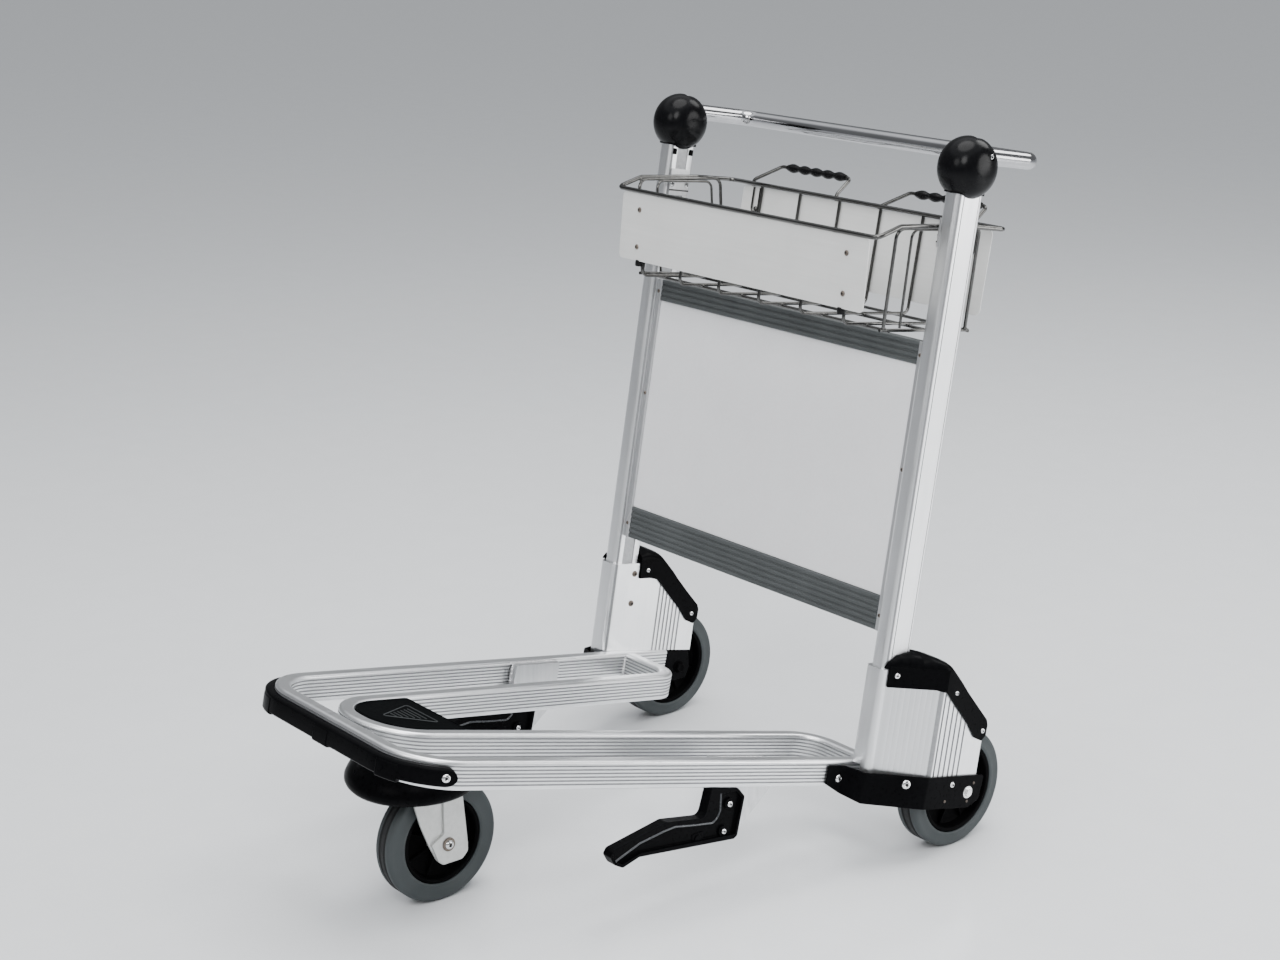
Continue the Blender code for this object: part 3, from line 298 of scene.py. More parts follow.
def raw_object(name, shape, matrix):
    """Plain mesh object from a bmesh, with clean outward normals."""
    bmesh.ops.remove_doubles(shape, verts=shape.verts, dist=1e-6)
    bmesh.ops.recalc_face_normals(shape, faces=shape.faces)
    mesh = bpy.data.meshes.new(name)
    shape.to_mesh(mesh)
    shape.free()
    obj = bpy.data.objects.new(name, mesh)
    bpy.context.scene.collection.objects.link(obj)
    obj.matrix_world = matrix
    return obj


def cutting(place, *shapes):
    """Cutting objects made of bmeshes."""
    return [raw_object("cut", shape, place) for shape in shapes]


def carve(obj, cutters, operation="DIFFERENCE"):
    """Apply exact booleans with each cutter and delete the cutters."""
    bpy.context.view_layer.update()
    for cutter in cutters:
        modifier = obj.modifiers.new("cut", "BOOLEAN")
        modifier.operation = operation
        modifier.solver = "EXACT"
        modifier.object = cutter
        shape = obj.evaluated_get(bpy.context.evaluated_depsgraph_get())
        mesh = bpy.data.meshes.new_from_object(shape)
        obj.modifiers.clear()
        obj.data = mesh
        bpy.data.objects.remove(cutter, do_unlink=True)
        bpy.context.view_layer.update()
    return obj


def dress(obj, body, look, replaces=(), bevel=0.0, steps=2, angle=35.0):
    """Give a piece its finish, its body and the CAD nodes that it stands for."""
    mesh = obj.data
    if mesh.materials:
        mesh.materials.clear()
    mesh.materials.append(LOOKS[look])
    # The second material is painted shade: darker aluminium in rail, post and housing grooves, near
    # black in screw drives.
    if any(polygon.material_index for polygon in mesh.polygons):
        mesh.materials.append(LOOKS["groove" if look in ("rail", "post", "grey") else "recess_shade"])
    mesh.shade_smooth()
    mesh.set_sharp_from_angle(angle=math.radians(angle))
    if bevel > 0.0:
        modifier = obj.modifiers.new("edges", "BEVEL")
        modifier.width = bevel
        modifier.segments = steps
        modifier.limit_method = "ANGLE"
        modifier.angle_limit = math.radians(angle)
        modifier.harden_normals = True
    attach(obj, body)
    if replaces:
        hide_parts(*replaces)
    return obj


def piece(name, shape, matrix, body, look, replaces=(), bevel=0.0, steps=2, angle=35.0):
    """Make, place and dress a piece from a bmesh or a list of them."""
    if isinstance(shape, list):
        shape = merged(shape)
    return dress(raw_object(name, shape, matrix), body, look, replaces, bevel, steps, angle)


def shade_grooves(obj, inside):
    """Give the faces whose centre passes a test the second, darker material: painted shade in
    grooves.
    """
    for polygon in obj.data.polygons:
        if inside(polygon.center):
            polygon.material_index = 1


def cad_shape(node):
    """Bmesh of a CAD node with its flat faces made whole."""
    shape = bmesh.new()
    shape.from_mesh(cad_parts[node].data)
    bmesh.ops.remove_doubles(shape, verts=shape.verts, dist=2e-6)
    flat = math.radians(1.0)
    bmesh.ops.dissolve_limit(shape, angle_limit=flat, verts=shape.verts, edges=shape.edges)
    return shape


def edged_copy(node, body, look, bevel, steps=2, angle=35.0):
    """Stand-in for a CAD node with the same shape and softened edges."""
    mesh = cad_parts[node].data.copy()
    obj = bpy.data.objects.new(node + "_skin", mesh)
    bpy.context.scene.collection.objects.link(obj)
    shape = cad_shape(node)
    shape.to_mesh(mesh)
    shape.free()
    return dress(obj, body, look, (node,), bevel, steps, angle)


# ---------------------------------------------------------------- shapes

def flip(points, side):
    """Mirror an outline across the middle plane for the right-hand pieces."""
    return [(side * x, y) for x, y in points]


def arc(centre, radius, start, end, steps):
    """Points on a flat arc, angles in degrees."""
    spots = []
    for k in range(steps + 1):
        turn = math.radians(start + (end - start) * k / steps)
        spots.append((centre[0] + radius * math.cos(turn), centre[1] + radius * math.sin(turn)))
    return spots


def skin(shape, rings, closed=False):
    """Join rings of vertices with four-sided faces."""
    pairs = list(zip(rings, rings[1:]))
    if closed:
        pairs.append((rings[-1], rings[0]))
    for first, second in pairs:
        for i in range(len(first)):
            j = (i + 1) % len(first)
            shape.faces.new((first[i], first[j], second[j], second[i]))


def prism(outline, low, high, axis="Z"):
    """Extrude a closed outline between two levels along an axis."""
    shape = bmesh.new()
    rings = []
    for level in (low, high):
        ring = []
        for a, b in outline:
            spot = {"Z": (a, b, level), "X": (level, a, b), "Y": (a, level, b)}[axis]
            ring.append(shape.verts.new(spot))
        rings.append(ring)
    skin(shape, rings)
    shape.faces.new(list(reversed(rings[0])))
    shape.faces.new(rings[1])
    return shape


def box(x0, x1, y0, y1, z0, z1):
    """A block between two corners."""
    return prism([(x0, y0), (x1, y0), (x1, y1), (x0, y1)], z0, z1)


def slab(half_w, low, high, radius, steps):
    """Rounded rectangle, centred sideways, between two levels."""
    corners = [(-half_w, low), (half_w, low), (half_w, high), (-half_w, high)]
    return rounded(corners, radius, steps)


def lathe(profile, segments=48, axis="X", closed=False):
    """Turn a profile of (radius, position) about an axis."""
    shape = bmesh.new()
    rings = []
    for radius, along in profile:
        if radius < 1e-6:
            point = (along, 0.0, 0.0) if axis == "X" else (0.0, 0.0, along)
            rings.append([shape.verts.new(point)])
            continue
        ring = []
        for i in range(segments):
            turn = 2.0 * math.pi * i / segments
            c = radius * math.cos(turn)
            s = radius * math.sin(turn)
            ring.append(shape.verts.new((along, c, s) if axis == "X" else (c, s, along)))
        rings.append(ring)
    pairs = list(zip(rings, rings[1:]))
    if closed:
        pairs.append((rings[-1], rings[0]))
    for first, second in pairs:
        for i in range(segments):
            j = (i + 1) % segments
            corners = [first[i % len(first)], first[j % len(first)]]
            corners += [second[j % len(second)], second[i % len(second)]]
            unique = list(dict.fromkeys(corners))
            if len(unique) > 2:
                shape.faces.new(unique)
    if not closed:
        for ring in (rings[0], rings[-1]):
            if len(ring) > 2:
                shape.faces.new(ring)
    return shape


def rounded(points, radii, steps=6, closed=True):
    """Round the corners of a 2D or 3D polyline; radii is one number or one per point."""
    made = []
    count = len(points)
    for i, point in enumerate(points):
        here = Vector(point)
        radius = radii[i] if isinstance(radii, (list, tuple)) else radii
        if radius <= 0.0 or (not closed and i in (0, count - 1)):
            made.append(here)
            continue
        before = (Vector(points[i - 1]) - here).normalized()
        after = (Vector(points[(i + 1) % count]) - here).normalized()
        half = 0.5 * before.angle(after)
        reach = radius / math.tan(half)
        middle = here + (before + after).normalized() * (radius / math.sin(half))
        start = here + before * reach - middle
        end = here + after * reach - middle
        total = start.angle(end)
        for k in range(steps + 1):
            part = k / steps
            a = math.sin((1.0 - part) * total) / math.sin(total)
            b = math.sin(part * total) / math.sin(total)
            made.append(middle + start * a + end * b)
    return [tuple(point) for point in made]


def directions(spots, i, closed=False):
    """Unit directions of a path just before and just after a point."""
    count = len(spots)
    back = spots[i] - spots[i - 1] if closed or i > 0 else None
    ahead = spots[(i + 1) % count] - spots[i] if closed or i < count - 1 else None
    first = (ahead if back is None else back).normalized()
    second = (back if ahead is None else ahead).normalized()
    return first, second, (first + second).normalized()


def side_steps(points):
    """Left-hand normal and mitre factor at each point of a flat open path."""
    result = []
    spots = [Vector(point) for point in points]
    for i, here in enumerate(spots):
        first, _, tangent = directions(spots, i)
        normal = Vector((-tangent.y, tangent.x))
        result.append((here, normal, 1.0 / max(0.3, tangent.dot(first))))
    return result


def offset_path(points, distance):
    """Move a flat open path sideways to its left."""
    return [tuple(here + normal * distance * mitre)
            for here, normal, mitre in side_steps(points)]


def clip_path(points, limit):
    """The part of a flat path in front of a Y limit, cut exactly at that limit."""
    kept = []
    for first, second in zip(points, points[1:]):
        if first[1] <= limit:
            kept.append(first)
        if (first[1] - limit) * (second[1] - limit) < 0.0:
            share = (limit - first[1]) / (second[1] - first[1])
            kept.append((first[0] + share * (second[0] - first[0]), limit))
    return kept


def along_path(points):
    """Distance of each point from the start of a path."""
    total = 0.0
    spots = [0.0]
    for first, second in zip(points, points[1:]):
        total += (Vector(second) - Vector(first)).length
        spots.append(total)
    return spots


def resampled(points, distances):
    """Points of a path at given distances from its start."""
    reach = along_path(points)
    made = []
    for distance in distances:
        index = 0
        while index < len(reach) - 2 and reach[index + 1] < distance:
            index += 1
        share = (distance - reach[index]) / (reach[index + 1] - reach[index])
        made.append(tuple(Vector(points[index]).lerp(Vector(points[index + 1]), share)))
    return made


def sweep_flat(path, section, heights=None, grooves=()):
    """Sweep a section of (side, height) along a flat open path; caps both ends."""
    shape = bmesh.new()
    rings = []
    for i, (here, normal, mitre) in enumerate(side_steps(path)):
        ring = []
        for side, height in section:
            spot = here + normal * side * mitre
            if heights:
                low, high = heights[i]
                height = low + (high - low) * height
            ring.append(shape.verts.new((spot.x, spot.y, height)))
        rings.append(ring)
    skin(shape, rings)
    shape.faces.ensure_lookup_table()
    # Faces listed in grooves take the second material, a painted shade.
    for k in range(len(section) * (len(rings) - 1)):
        shape.faces[k].material_index = 1 if k % len(section) in grooves else 0
    shape.faces.new(rings[0])
    shape.faces.new(rings[-1])
    return shape


def tube(points, radius, sides=12, closed=False):
    """Round bar along a 3D path; radius is one number or one per point."""
    shape = bmesh.new()
    spots = [Vector(point) for point in points]
    rings = []
    normal = None
    for i, here in enumerate(spots):
        first, second, tangent = directions(spots, i, closed)
        if normal is None:
            guess = Vector((0, 0, 1)) if abs(tangent.z) < 0.9 else Vector((1, 0, 0))
            normal = guess - tangent * guess.dot(tangent)
        normal = (normal - tangent * normal.dot(tangent)).normalized()
        across = tangent.cross(normal)
        mitre = 1.0 / max(0.5, tangent.dot(first))
        bend = (second - first)
        bend = bend.normalized() if bend.length > 1e-5 else None
        size = radius[i] if isinstance(radius, (list, tuple)) else radius
        ring = []
        for k in range(sides):
            turn = 2.0 * math.pi * (k + 0.5) / sides
            spoke = normal * math.cos(turn) * size + across * math.sin(turn) * size
            if bend is not None:
                spoke = spoke + bend * spoke.dot(bend) * (mitre - 1.0)
            ring.append(shape.verts.new(here + spoke))
        rings.append(ring)
    skin(shape, rings, closed)
    if not closed:
        shape.faces.new(rings[0])
        shape.faces.new(rings[-1])
    return shape


def bent(path, bend, steps, radius, sides):
    """Round wire along an open path with rounded bends."""
    return tube(rounded(path, bend, steps, closed=False), radius, sides)


def weld_bead(start, end, radius):
    """Lumpy weld bead between two points, tapered at both ends."""
    first, last = Vector(start), Vector(end)
    count = max(6, int((last - first).length / 0.0011))
    across = (last - first).cross(Vector((0.3, 0.2, 1.0))).normalized()
    points, sizes = [], []
    for k in range(count + 1):
        share = k / count
        wave = math.sin(k * 1.9) + 0.5 * math.sin(k * 0.83 + 1.0)
        points.append(first.lerp(last, share) + across * wave * radius * 0.1)
        taper = min(1.0, 0.45 + 4.0 * min(share, 1.0 - share))
        sizes.append(radius * taper * (1.0 + 0.16 * wave))
    return tube(points, sizes, 10)


def screw(radius, height):
    """Domed head with a hollow drive, standing on Z = 0 and looking up +Z."""
    profile = [(0.0, 0.15 * height), (0.3 * radius, 0.18 * height), (0.36 * radius, 0.9 * height)]
    profile += [(0.44 * radius, height), (0.72 * radius, 0.86 * height)]
    profile += [(0.93 * radius, 0.48 * height), (radius, 0.05 * height), (radius, -0.0004)]
    head = lathe(profile, 28, "Z")
    # Faces inside the drive take the second material, a painted shade.
    for face in head.faces:
        middle = face.calc_center_median()
        if math.hypot(middle.x, middle.y) < 0.345 * radius and middle.z > 0.0:
            face.material_index = 1
    return head


def screw_at(point, direction, radius, height):
    """A screw head standing on a point and facing a direction."""
    return moved(screw(radius, height), facing(point, direction))


def round_pad(radius, height):
    """Low round pad with a slight draft, standing on Z = 0."""
    return lathe([(0.0, 0.0), (radius, 0.0), (radius - 0.0004, height), (0.0, height)], 32, "Z")


def hex_bolt(radius, height, washer):
    """Hexagon head with a chamfer on a round washer, looking up +Z."""
    head = [(0.0, 0.96 * height), (0.55 * radius, 0.96 * height), (0.62 * radius, height)]
    head += [(0.88 * radius, height), (radius, 0.82 * height), (radius, 0.0)]
    plate = [(0.0, 0.0012), (washer - 0.0004, 0.0012), (washer, 0.0008), (washer, -0.0004)]
    return [lathe(head, 6, "Z"), lathe(plate, 32, "Z")]


# ---------------------------------------------------------------- base frame

RIBS = 6
RIB_EDGE = 0.0072
RAIL_TOP_R = 0.005
RAIL_FOOT_R = 0.0022


def rail_section():
    """Upright rail section with a rounded top and fine ribs down both faces."""
    half = 0.5 * RAIL_W
    right = arc((half - RAIL_TOP_R, -RAIL_TOP_R), RAIL_TOP_R, 90.0, 0.0, 6)
    pitch = (RAIL_H - 2.0 * RIB_EDGE) / (RIBS - 1)
    for i in range(RIBS):
        middle = -(RIB_EDGE + pitch * i)
        right += [(half, middle + 0.0012), (half - 0.0011, middle + 0.0004)]
        right += [(half - 0.0011, middle - 0.0004), (half, middle - 0.0012)]
    right += arc((half - RAIL_FOOT_R, RAIL_FOOT_R - RAIL_H), RAIL_FOOT_R, 0.0, -90.0, 3)
    left = [(-x, z) for x, z in reversed(right)]
    return right + left


def outer_path(steps=14):
    """Centreline of the outer rail, from the left end round the nose to the right end."""
    end_x = OUTER_X + OUTER_TOE * OUTER_END
    nose_x = OUTER_X + OUTER_TOE * OUTER_FRONT
    corners = [(end_x, OUTER_END), (nose_x, OUTER_FRONT)]
    corners += [(-nose_x, OUTER_FRONT), (-end_x, OUTER_END)]
    return rounded(corners, 0.08, steps, closed=False)


def inner_path(steps=12):
    """Centreline of the inner rail, which turns outwards to meet the outer rail."""
    side_x = INNER_X + INNER_TOE * INNER_END
    nose_x = INNER_X + INNER_TOE * INNER_FRONT
    reach = OUTER_X + OUTER_TOE * INNER_END - 0.5 * RAIL_W - 0.0018
    corners = [(reach, INNER_END), (side_x, INNER_END), (nose_x, INNER_FRONT)]
    corners += [(-x, y) for x, y in reversed(corners)]
    return rounded(corners, [0.0, 0.048, 0.076, 0.076, 0.048, 0.0], steps, closed=False)


def build_rails():
    """Outer and inner loops with the welds that join them."""
    deck = deck_matrix()
    section = rail_section()
    # groove faces of the ribs, which get the painted shade
    grooves = set()
    for i, (first, second) in enumerate(zip(section, section[1:])):
        shallow = min(abs(first[0]), abs(second[0]))
        if shallow < 0.5 * RAIL_W - 0.0005 and -0.036 < first[1] < -0.005:
            grooves.add(i)
    for name, path in (("outer_rail", outer_path()), ("inner_rail", inner_path())):
        piece(name + "_ribbed", sweep_flat(path, section, None, grooves), deck, "frame", "rail",
              (name,))
    beads = []
    for side, _ in SIDES:
        for edge in (-0.5, 0.5):
            y = INNER_END + edge * (RAIL_W + 0.0012)
            x = side * (OUTER_X + OUTER_TOE * y - 0.5 * RAIL_W - 0.0006)
            beads.append(weld_bead((x, y, -0.003), (x, y, -RAIL_H + 0.001), 0.0024))
        ends = [(side * (OUTER_X + OUTER_TOE * y - 0.5 * RAIL_W), y, -0.0026)
                for y in (-0.4005, -0.3025)]
        beads.append(weld_bead(ends[0], ends[1], 0.0026))
        for x, y, _ in ends:
            inside = x - side * 0.004
            beads.append(weld_bead((inside, y, -0.003), (inside, y, -0.037), 0.0026))
    piece("rail_welds", beads, deck, "frame", "weld", angle=80)


BUMPER_T = 0.0065
BUMPER_TAB = 0.0152
BUMPER_BACK = 0.052
PLATE_REAR = -0.7165


def build_bumper():
    """Black bumper round the nose, with three raised bands and a rivet in each rounded end."""
    deck = deck_matrix()
    thick = BUMPER_T
    tab = BUMPER_TAB
    line = offset_path(outer_path(18), 0.5 * RAIL_W + 0.0003 + thick)
    line = clip_path(line, OUTER_FRONT + BUMPER_BACK)
    total = along_path(line)[-1]
    near = [tab * (1.0 - math.cos(math.pi * k / 18.0)) for k in range(10)]
    near[0] = 0.00005
    inner = [tab + (total - 2.0 * tab) * k / 46.0 for k in range(1, 46)]
    distances = near + inner + [total - d for d in reversed(near)]
    spots = resampled(line, distances)
    heights = []
    for (x, _), distance in zip(spots, distances):
        share = min(1.0, max(0.0, (abs(x) - 0.12) / 0.1))
        low, high = -0.0365 + 0.0035 * share, -0.0095 + 0.0025 * share
        short = min(distance, total - distance)
        if short < tab:
            half = 0.5 * (high - low) * math.sqrt(max(0.0, 1.0 - (1.0 - short / tab) ** 2))
            middle = 0.5 * (high + low)
            low, high = middle - half, middle + half
        heights.append((low, high))
    curve = [(thick * math.sin(math.radians(a)), 0.14 * math.cos(math.radians(a)))
             for a in (20, 40, 60, 80, 90)]
    section = [(-thick, 0.0), (-thick, 1.0), (-thick + 0.004, 1.0)]
    section += [(out, 0.86 + rise) for out, rise in curve]
    section += [(out, 0.14 - rise) for out, rise in reversed(curve)]
    section.append((-thick + 0.004, 0.0))
    piece("nose_bumper_moulded", sweep_flat(spots, section, heights), deck, "frame", "black",
          ("nose_bumper",), angle=45)
    bands = []
    proud = offset_path(outer_path(18), 0.5 * RAIL_W + 0.0011 + thick)
    middle = 0.5 * along_path(proud)[-1]
    for centre in (middle - 0.15, middle, middle + 0.15):
        band = resampled(proud, [centre + 0.017 * k / 6.0 for k in range(-6, 7)])
        bands.append(sweep_flat(band, section, [(-0.0388, -0.0118)] * len(band)))
    piece("nose_bumper_bands", bands, deck, "frame", "black", bevel=0.0009, angle=45)
    rivets = []
    for distance in (tab, total - tab):
        spot = resampled(line, [distance - 0.001, distance, distance + 0.001])
        tangent = (Vector(spot[2]) - Vector(spot[0])).normalized()
        outward = Vector((-tangent.y, tangent.x, 0.0))
        centre = Vector((spot[1][0], spot[1][1], -0.02)) + outward * (thick - 0.0002)
        rivets.append(screw_at(centre, outward, 0.0062, 0.0026))
    piece("bumper_rivets", rivets, deck, "frame", "screw")


def build_nose_plate():
    """Black plate in the nose of the inner rail, with a generic ribbed triangle."""
    deck = deck_matrix()
    line = [p for p in inner_path() if p[1] < -0.7]
    edge = offset_path(line, -(0.5 * RAIL_W + 0.0005))
    last_x = edge[0][0] + INNER_TOE * (PLATE_REAR - edge[0][1])
    outline = [(last_x, PLATE_REAR)] + [p for p in edge if p[1] < PLATE_REAR - 0.005]
    outline.append((-last_x, PLATE_REAR))
    rim = [(x, y, -0.0016) for x, y in offset_path(outline, -0.0045)]
    parts = [prism(outline, -0.0048, -0.0014), tube(rim, 0.0011, 8)]
    parts.append(tube([rim[0], rim[-1]], 0.0011, 8))
    piece("nose_plate_moulded", parts, deck, "frame", "plate", ("nose_plate",), bevel=0.0006)
    apex, left, right = Vector((0.0, -0.808)), Vector((0.041, -0.7385)), Vector((-0.041, -0.7385))
    border = rounded([tuple(c) for c in (apex, left, right)], 0.004, 4)
    ribs = [tube([(x, y, -0.0012) for x, y in border], 0.0009, 8, closed=True)]
    for k in range(2, 8):
        share = 0.05 + 0.115 * k
        start, end = apex.lerp(left, share), apex.lerp(right, share)
        start, end = start.lerp(end, 0.16), end.lerp(start, 0.16)
        ribs.append(tube([(start.x, start.y, -0.0013), (end.x, end.y, -0.0013)], 0.0009, 8))
    piece("nose_plate_ribs", ribs, deck, "frame", "label")


FOOT_BACK = 0.245
FOOT_T = 0.017
POCKET = 0.006


def build_step_arm(side, tag):
    """Fixed black foot under each outer rail: a pocketed moulding with a ridge and a gusset."""
    outline = [(-0.412, 0.1731), (-0.362, 0.16), (-0.349, 0.144), (-0.3625, 0.086)]
    outline += [(-0.369, 0.083), (-0.544, 0.1075), (-0.5735, 0.1), (-0.588, 0.1085)]
    outline += [(-0.596, 0.123), (-0.5905, 0.131), (-0.4955, 0.1455), (-0.425, 0.1315)]
    radii = [0.003, 0.006, 0.006, 0.004, 0.003, 0.01, 0.006, 0.008, 0.004, 0.006, 0.012, 0.01]
    back = side * FOOT_BACK
    face = back + FOOT_T
    arm = raw_object("step_arm_moulded_" + tag, prism(rounded(outline, radii, 5), back, face, "X"),
                     axle_matrix())
    ridge = [(-0.588, 0.113), (-0.5782, 0.1165), (-0.5443, 0.1275), (-0.5021, 0.1325)]
    ridge += [(-0.4812, 0.1335), (-0.4435, 0.1251), (-0.4112, 0.119), (-0.4029, 0.124)]
    ridge += [(-0.397, 0.1341), (-0.3958, 0.16)]
    ridge = rounded(ridge, 0.008, 4, closed=False)
    pocket = ridge + [(-0.364, 0.156), (-0.3535, 0.1435), (-0.3665, 0.0895), (-0.542, 0.1125)]
    pocket += [(-0.574, 0.105)]
    carve(arm, cutting(axle_matrix(), prism(pocket, face - POCKET, face + 0.01, "X")))
    dress(arm, "frame", "black", ("step_arm_" + tag,), bevel=0.0012, steps=3)
    # The bead is a lighter grey-blue than the black arm: a painted highlight along the ridge.
    bead = tube([(face - 0.0002, y + 0.0008, z + 0.001) for y, z in ridge], 0.0016, 10)
    piece("step_arm_ridge_" + tag, bead, axle_matrix(), "frame", "painted_highlight")
    bosses, screws = [], []
    for y, z, radius in ((-0.3765, 0.139, 0.005), (-0.3875, 0.1, 0.0044)):
        bosses.append(moved(round_pad(0.0084, 0.0034), facing((face - POCKET, y, z), (1, 0, 0))))
        screws.append(screw_at((face - 0.0016, y, z), (1, 0, 0), radius, 0.003))
    piece("step_arm_screws_" + tag, screws, axle_matrix(), "frame", "screw")
    pad = facing((face - POCKET, -0.434, 0.101), (1, 0, 0))
    bosses.append(moved(round_pad(0.0062, 0.0028), pad))
    bosses.append(moved(box(-0.01, 0.01, -0.0085, 0.0085, 0.0, 0.0012), pad))
    piece("step_arm_bosses_" + tag, bosses, axle_matrix(), "frame", "black", bevel=0.0005)
    plate = [(-0.28, 0.1365), (-0.347, 0.084), (-0.36, 0.095), (-0.354, 0.16)]
    plate += [(-0.305, 0.153), (-0.28, 0.142)]
    gusset = prism(rounded(plate, 0.002, 3), back - 0.005, back - 0.0004, "X")
    piece("step_arm_gusset_" + tag, gusset, axle_matrix(), "frame", "satin", bevel=0.0006)
    edged_copy("arm_mount_" + tag, "frame", "satin", 0.001)


# ---------------------------------------------------------------- caster and wheels

def build_caster_mount():
    """Black swivel housing under the nose, and the bearing race in it."""
    swivel = axle_matrix(0.0, SWIVEL_Y, 0.0)
    dome = [(0.0, 0.1945), (0.062, 0.1945), (0.078, 0.19), (0.086, 0.1866), (0.0905, 0.1872)]
    dome += [(0.0945, 0.1915), (0.0965, 0.1965), (0.096, 0.202), (0.092, 0.21)]
    dome += [(0.086, 0.2175), (0.079, 0.2235), (0.0725, 0.2275), (0.0708, 0.231), (0.07, 0.33)]
    dome.append((0.0, 0.33))
    mount = raw_object("caster_dome", lathe(dome, 72, "Z"), swivel)
    above = box(-0.3, 0.3, -1.2, -0.3, -RAIL_H - 0.0003, 0.2)
    carve(mount, cutting(deck_matrix(), above))
    plug = prism(slab(0.047, -0.805, -0.712, 0.01, 5), -0.06, -0.0055)
    plug = raw_object("plug", plug, deck_matrix())
    carve(mount, [plug], "UNION")
    dress(mount, "frame", "black", ("caster_mount",), bevel=0.0012, angle=40)
    ring = [(0.012, 0.1912), (0.0285, 0.1912), (0.03, 0.1925), (0.03, 0.1944)]
    ring.append((0.012, 0.1944))
    piece("swivel_race", lathe(ring, 64, "Z", closed=True), swivel, "frame", "zinc",
          ("swivel_bearing",))


def build_fork():
    """Swivelling fork with a proud rib on each leg, and its nut."""
    crown = [(0.0, 0.1868), (0.0405, 0.1868), (0.042, 0.188), (0.0405, 0.1904), (0.009, 0.1904)]
    crown += [(0.009, 0.2725), (0.0, 0.2725)]
    shelf = slab(0.032, -0.024, 0.055, 0.012, 6)
    parts = [lathe(crown, 56, "Z"), prism(shelf, 0.185, 0.1896)]
    leg = [(-0.025, 0.187), (-0.0083, 0.128), (0.0052, 0.0941), (0.018, 0.068)]
    leg += [(0.026, 0.06), (0.06, 0.06), (0.07, 0.07), (0.07, 0.082)]
    leg += [(0.06, 0.187)]
    leg = rounded(leg, [0.0, 0.01, 0.004, 0.008, 0.006, 0.008, 0.008, 0.01, 0.0], 5)
    proud = [(0.029, 0.1866), (0.029, 0.108), (0.0075, 0.0955), (0.018, 0.0684)]
    proud += [(0.0262, 0.0604), (0.0598, 0.0604), (0.0696, 0.0703), (0.0696, 0.082)]
    proud += [(0.0596, 0.1866)]
    proud = rounded(proud, [0.0, 0.006, 0.003, 0.008, 0.006, 0.008, 0.008, 0.01, 0.0], 5)
    for side, _ in reversed(SIDES):
        for outline, near, far in ((leg, 0.024, 0.0282), (proud, 0.027, 0.0318)):
            low, high = sorted((side * near, side * far))
            parts.append(prism(outline, low, high, "X"))
    piece("caster_fork_pressed", parts, axle_matrix(0.0, SWIVEL_Y, 0.0), "caster", "fork",
          ("caster_fork",), bevel=0.0011, steps=3)
    edged_copy("swivel_nut", "caster", "zinc", 0.0006)


def build_caster_wheel():
    """Bolt, washers and wheel in the fork."""
    wheel_frame = axle_matrix(0.0, CASTER_WHEEL_Y, AXLE_Z)
    bolt = [lathe([(0.006, -0.033), (0.006, 0.033)], 24)]
    washer = [(0.0, 0.001), (0.0095, 0.001), (0.0102, 0.0005), (0.0102, -0.0014), (0.0, -0.0014)]
    washers = []
    for side, _ in reversed(SIDES):
        face = facing((side * 0.033, 0.0, 0.0), (side, 0, 0))
        bolt.append(moved(screw(0.0072, 0.0045), face))
        washers.append(moved(lathe(washer, 32, "Z"), face))
    piece("caster_bolt", bolt, wheel_frame, "caster", "screw", ("caster_axle",))
    piece("caster_washers", washers, wheel_frame, "caster", "bolt_dark")
    build_wheel("caster", "caster_wheel", wheel_frame, *CASTER_TYRE)


SPOKES = 8
TREAD_CUT = 0.0022
SHOULDER = 0.0055


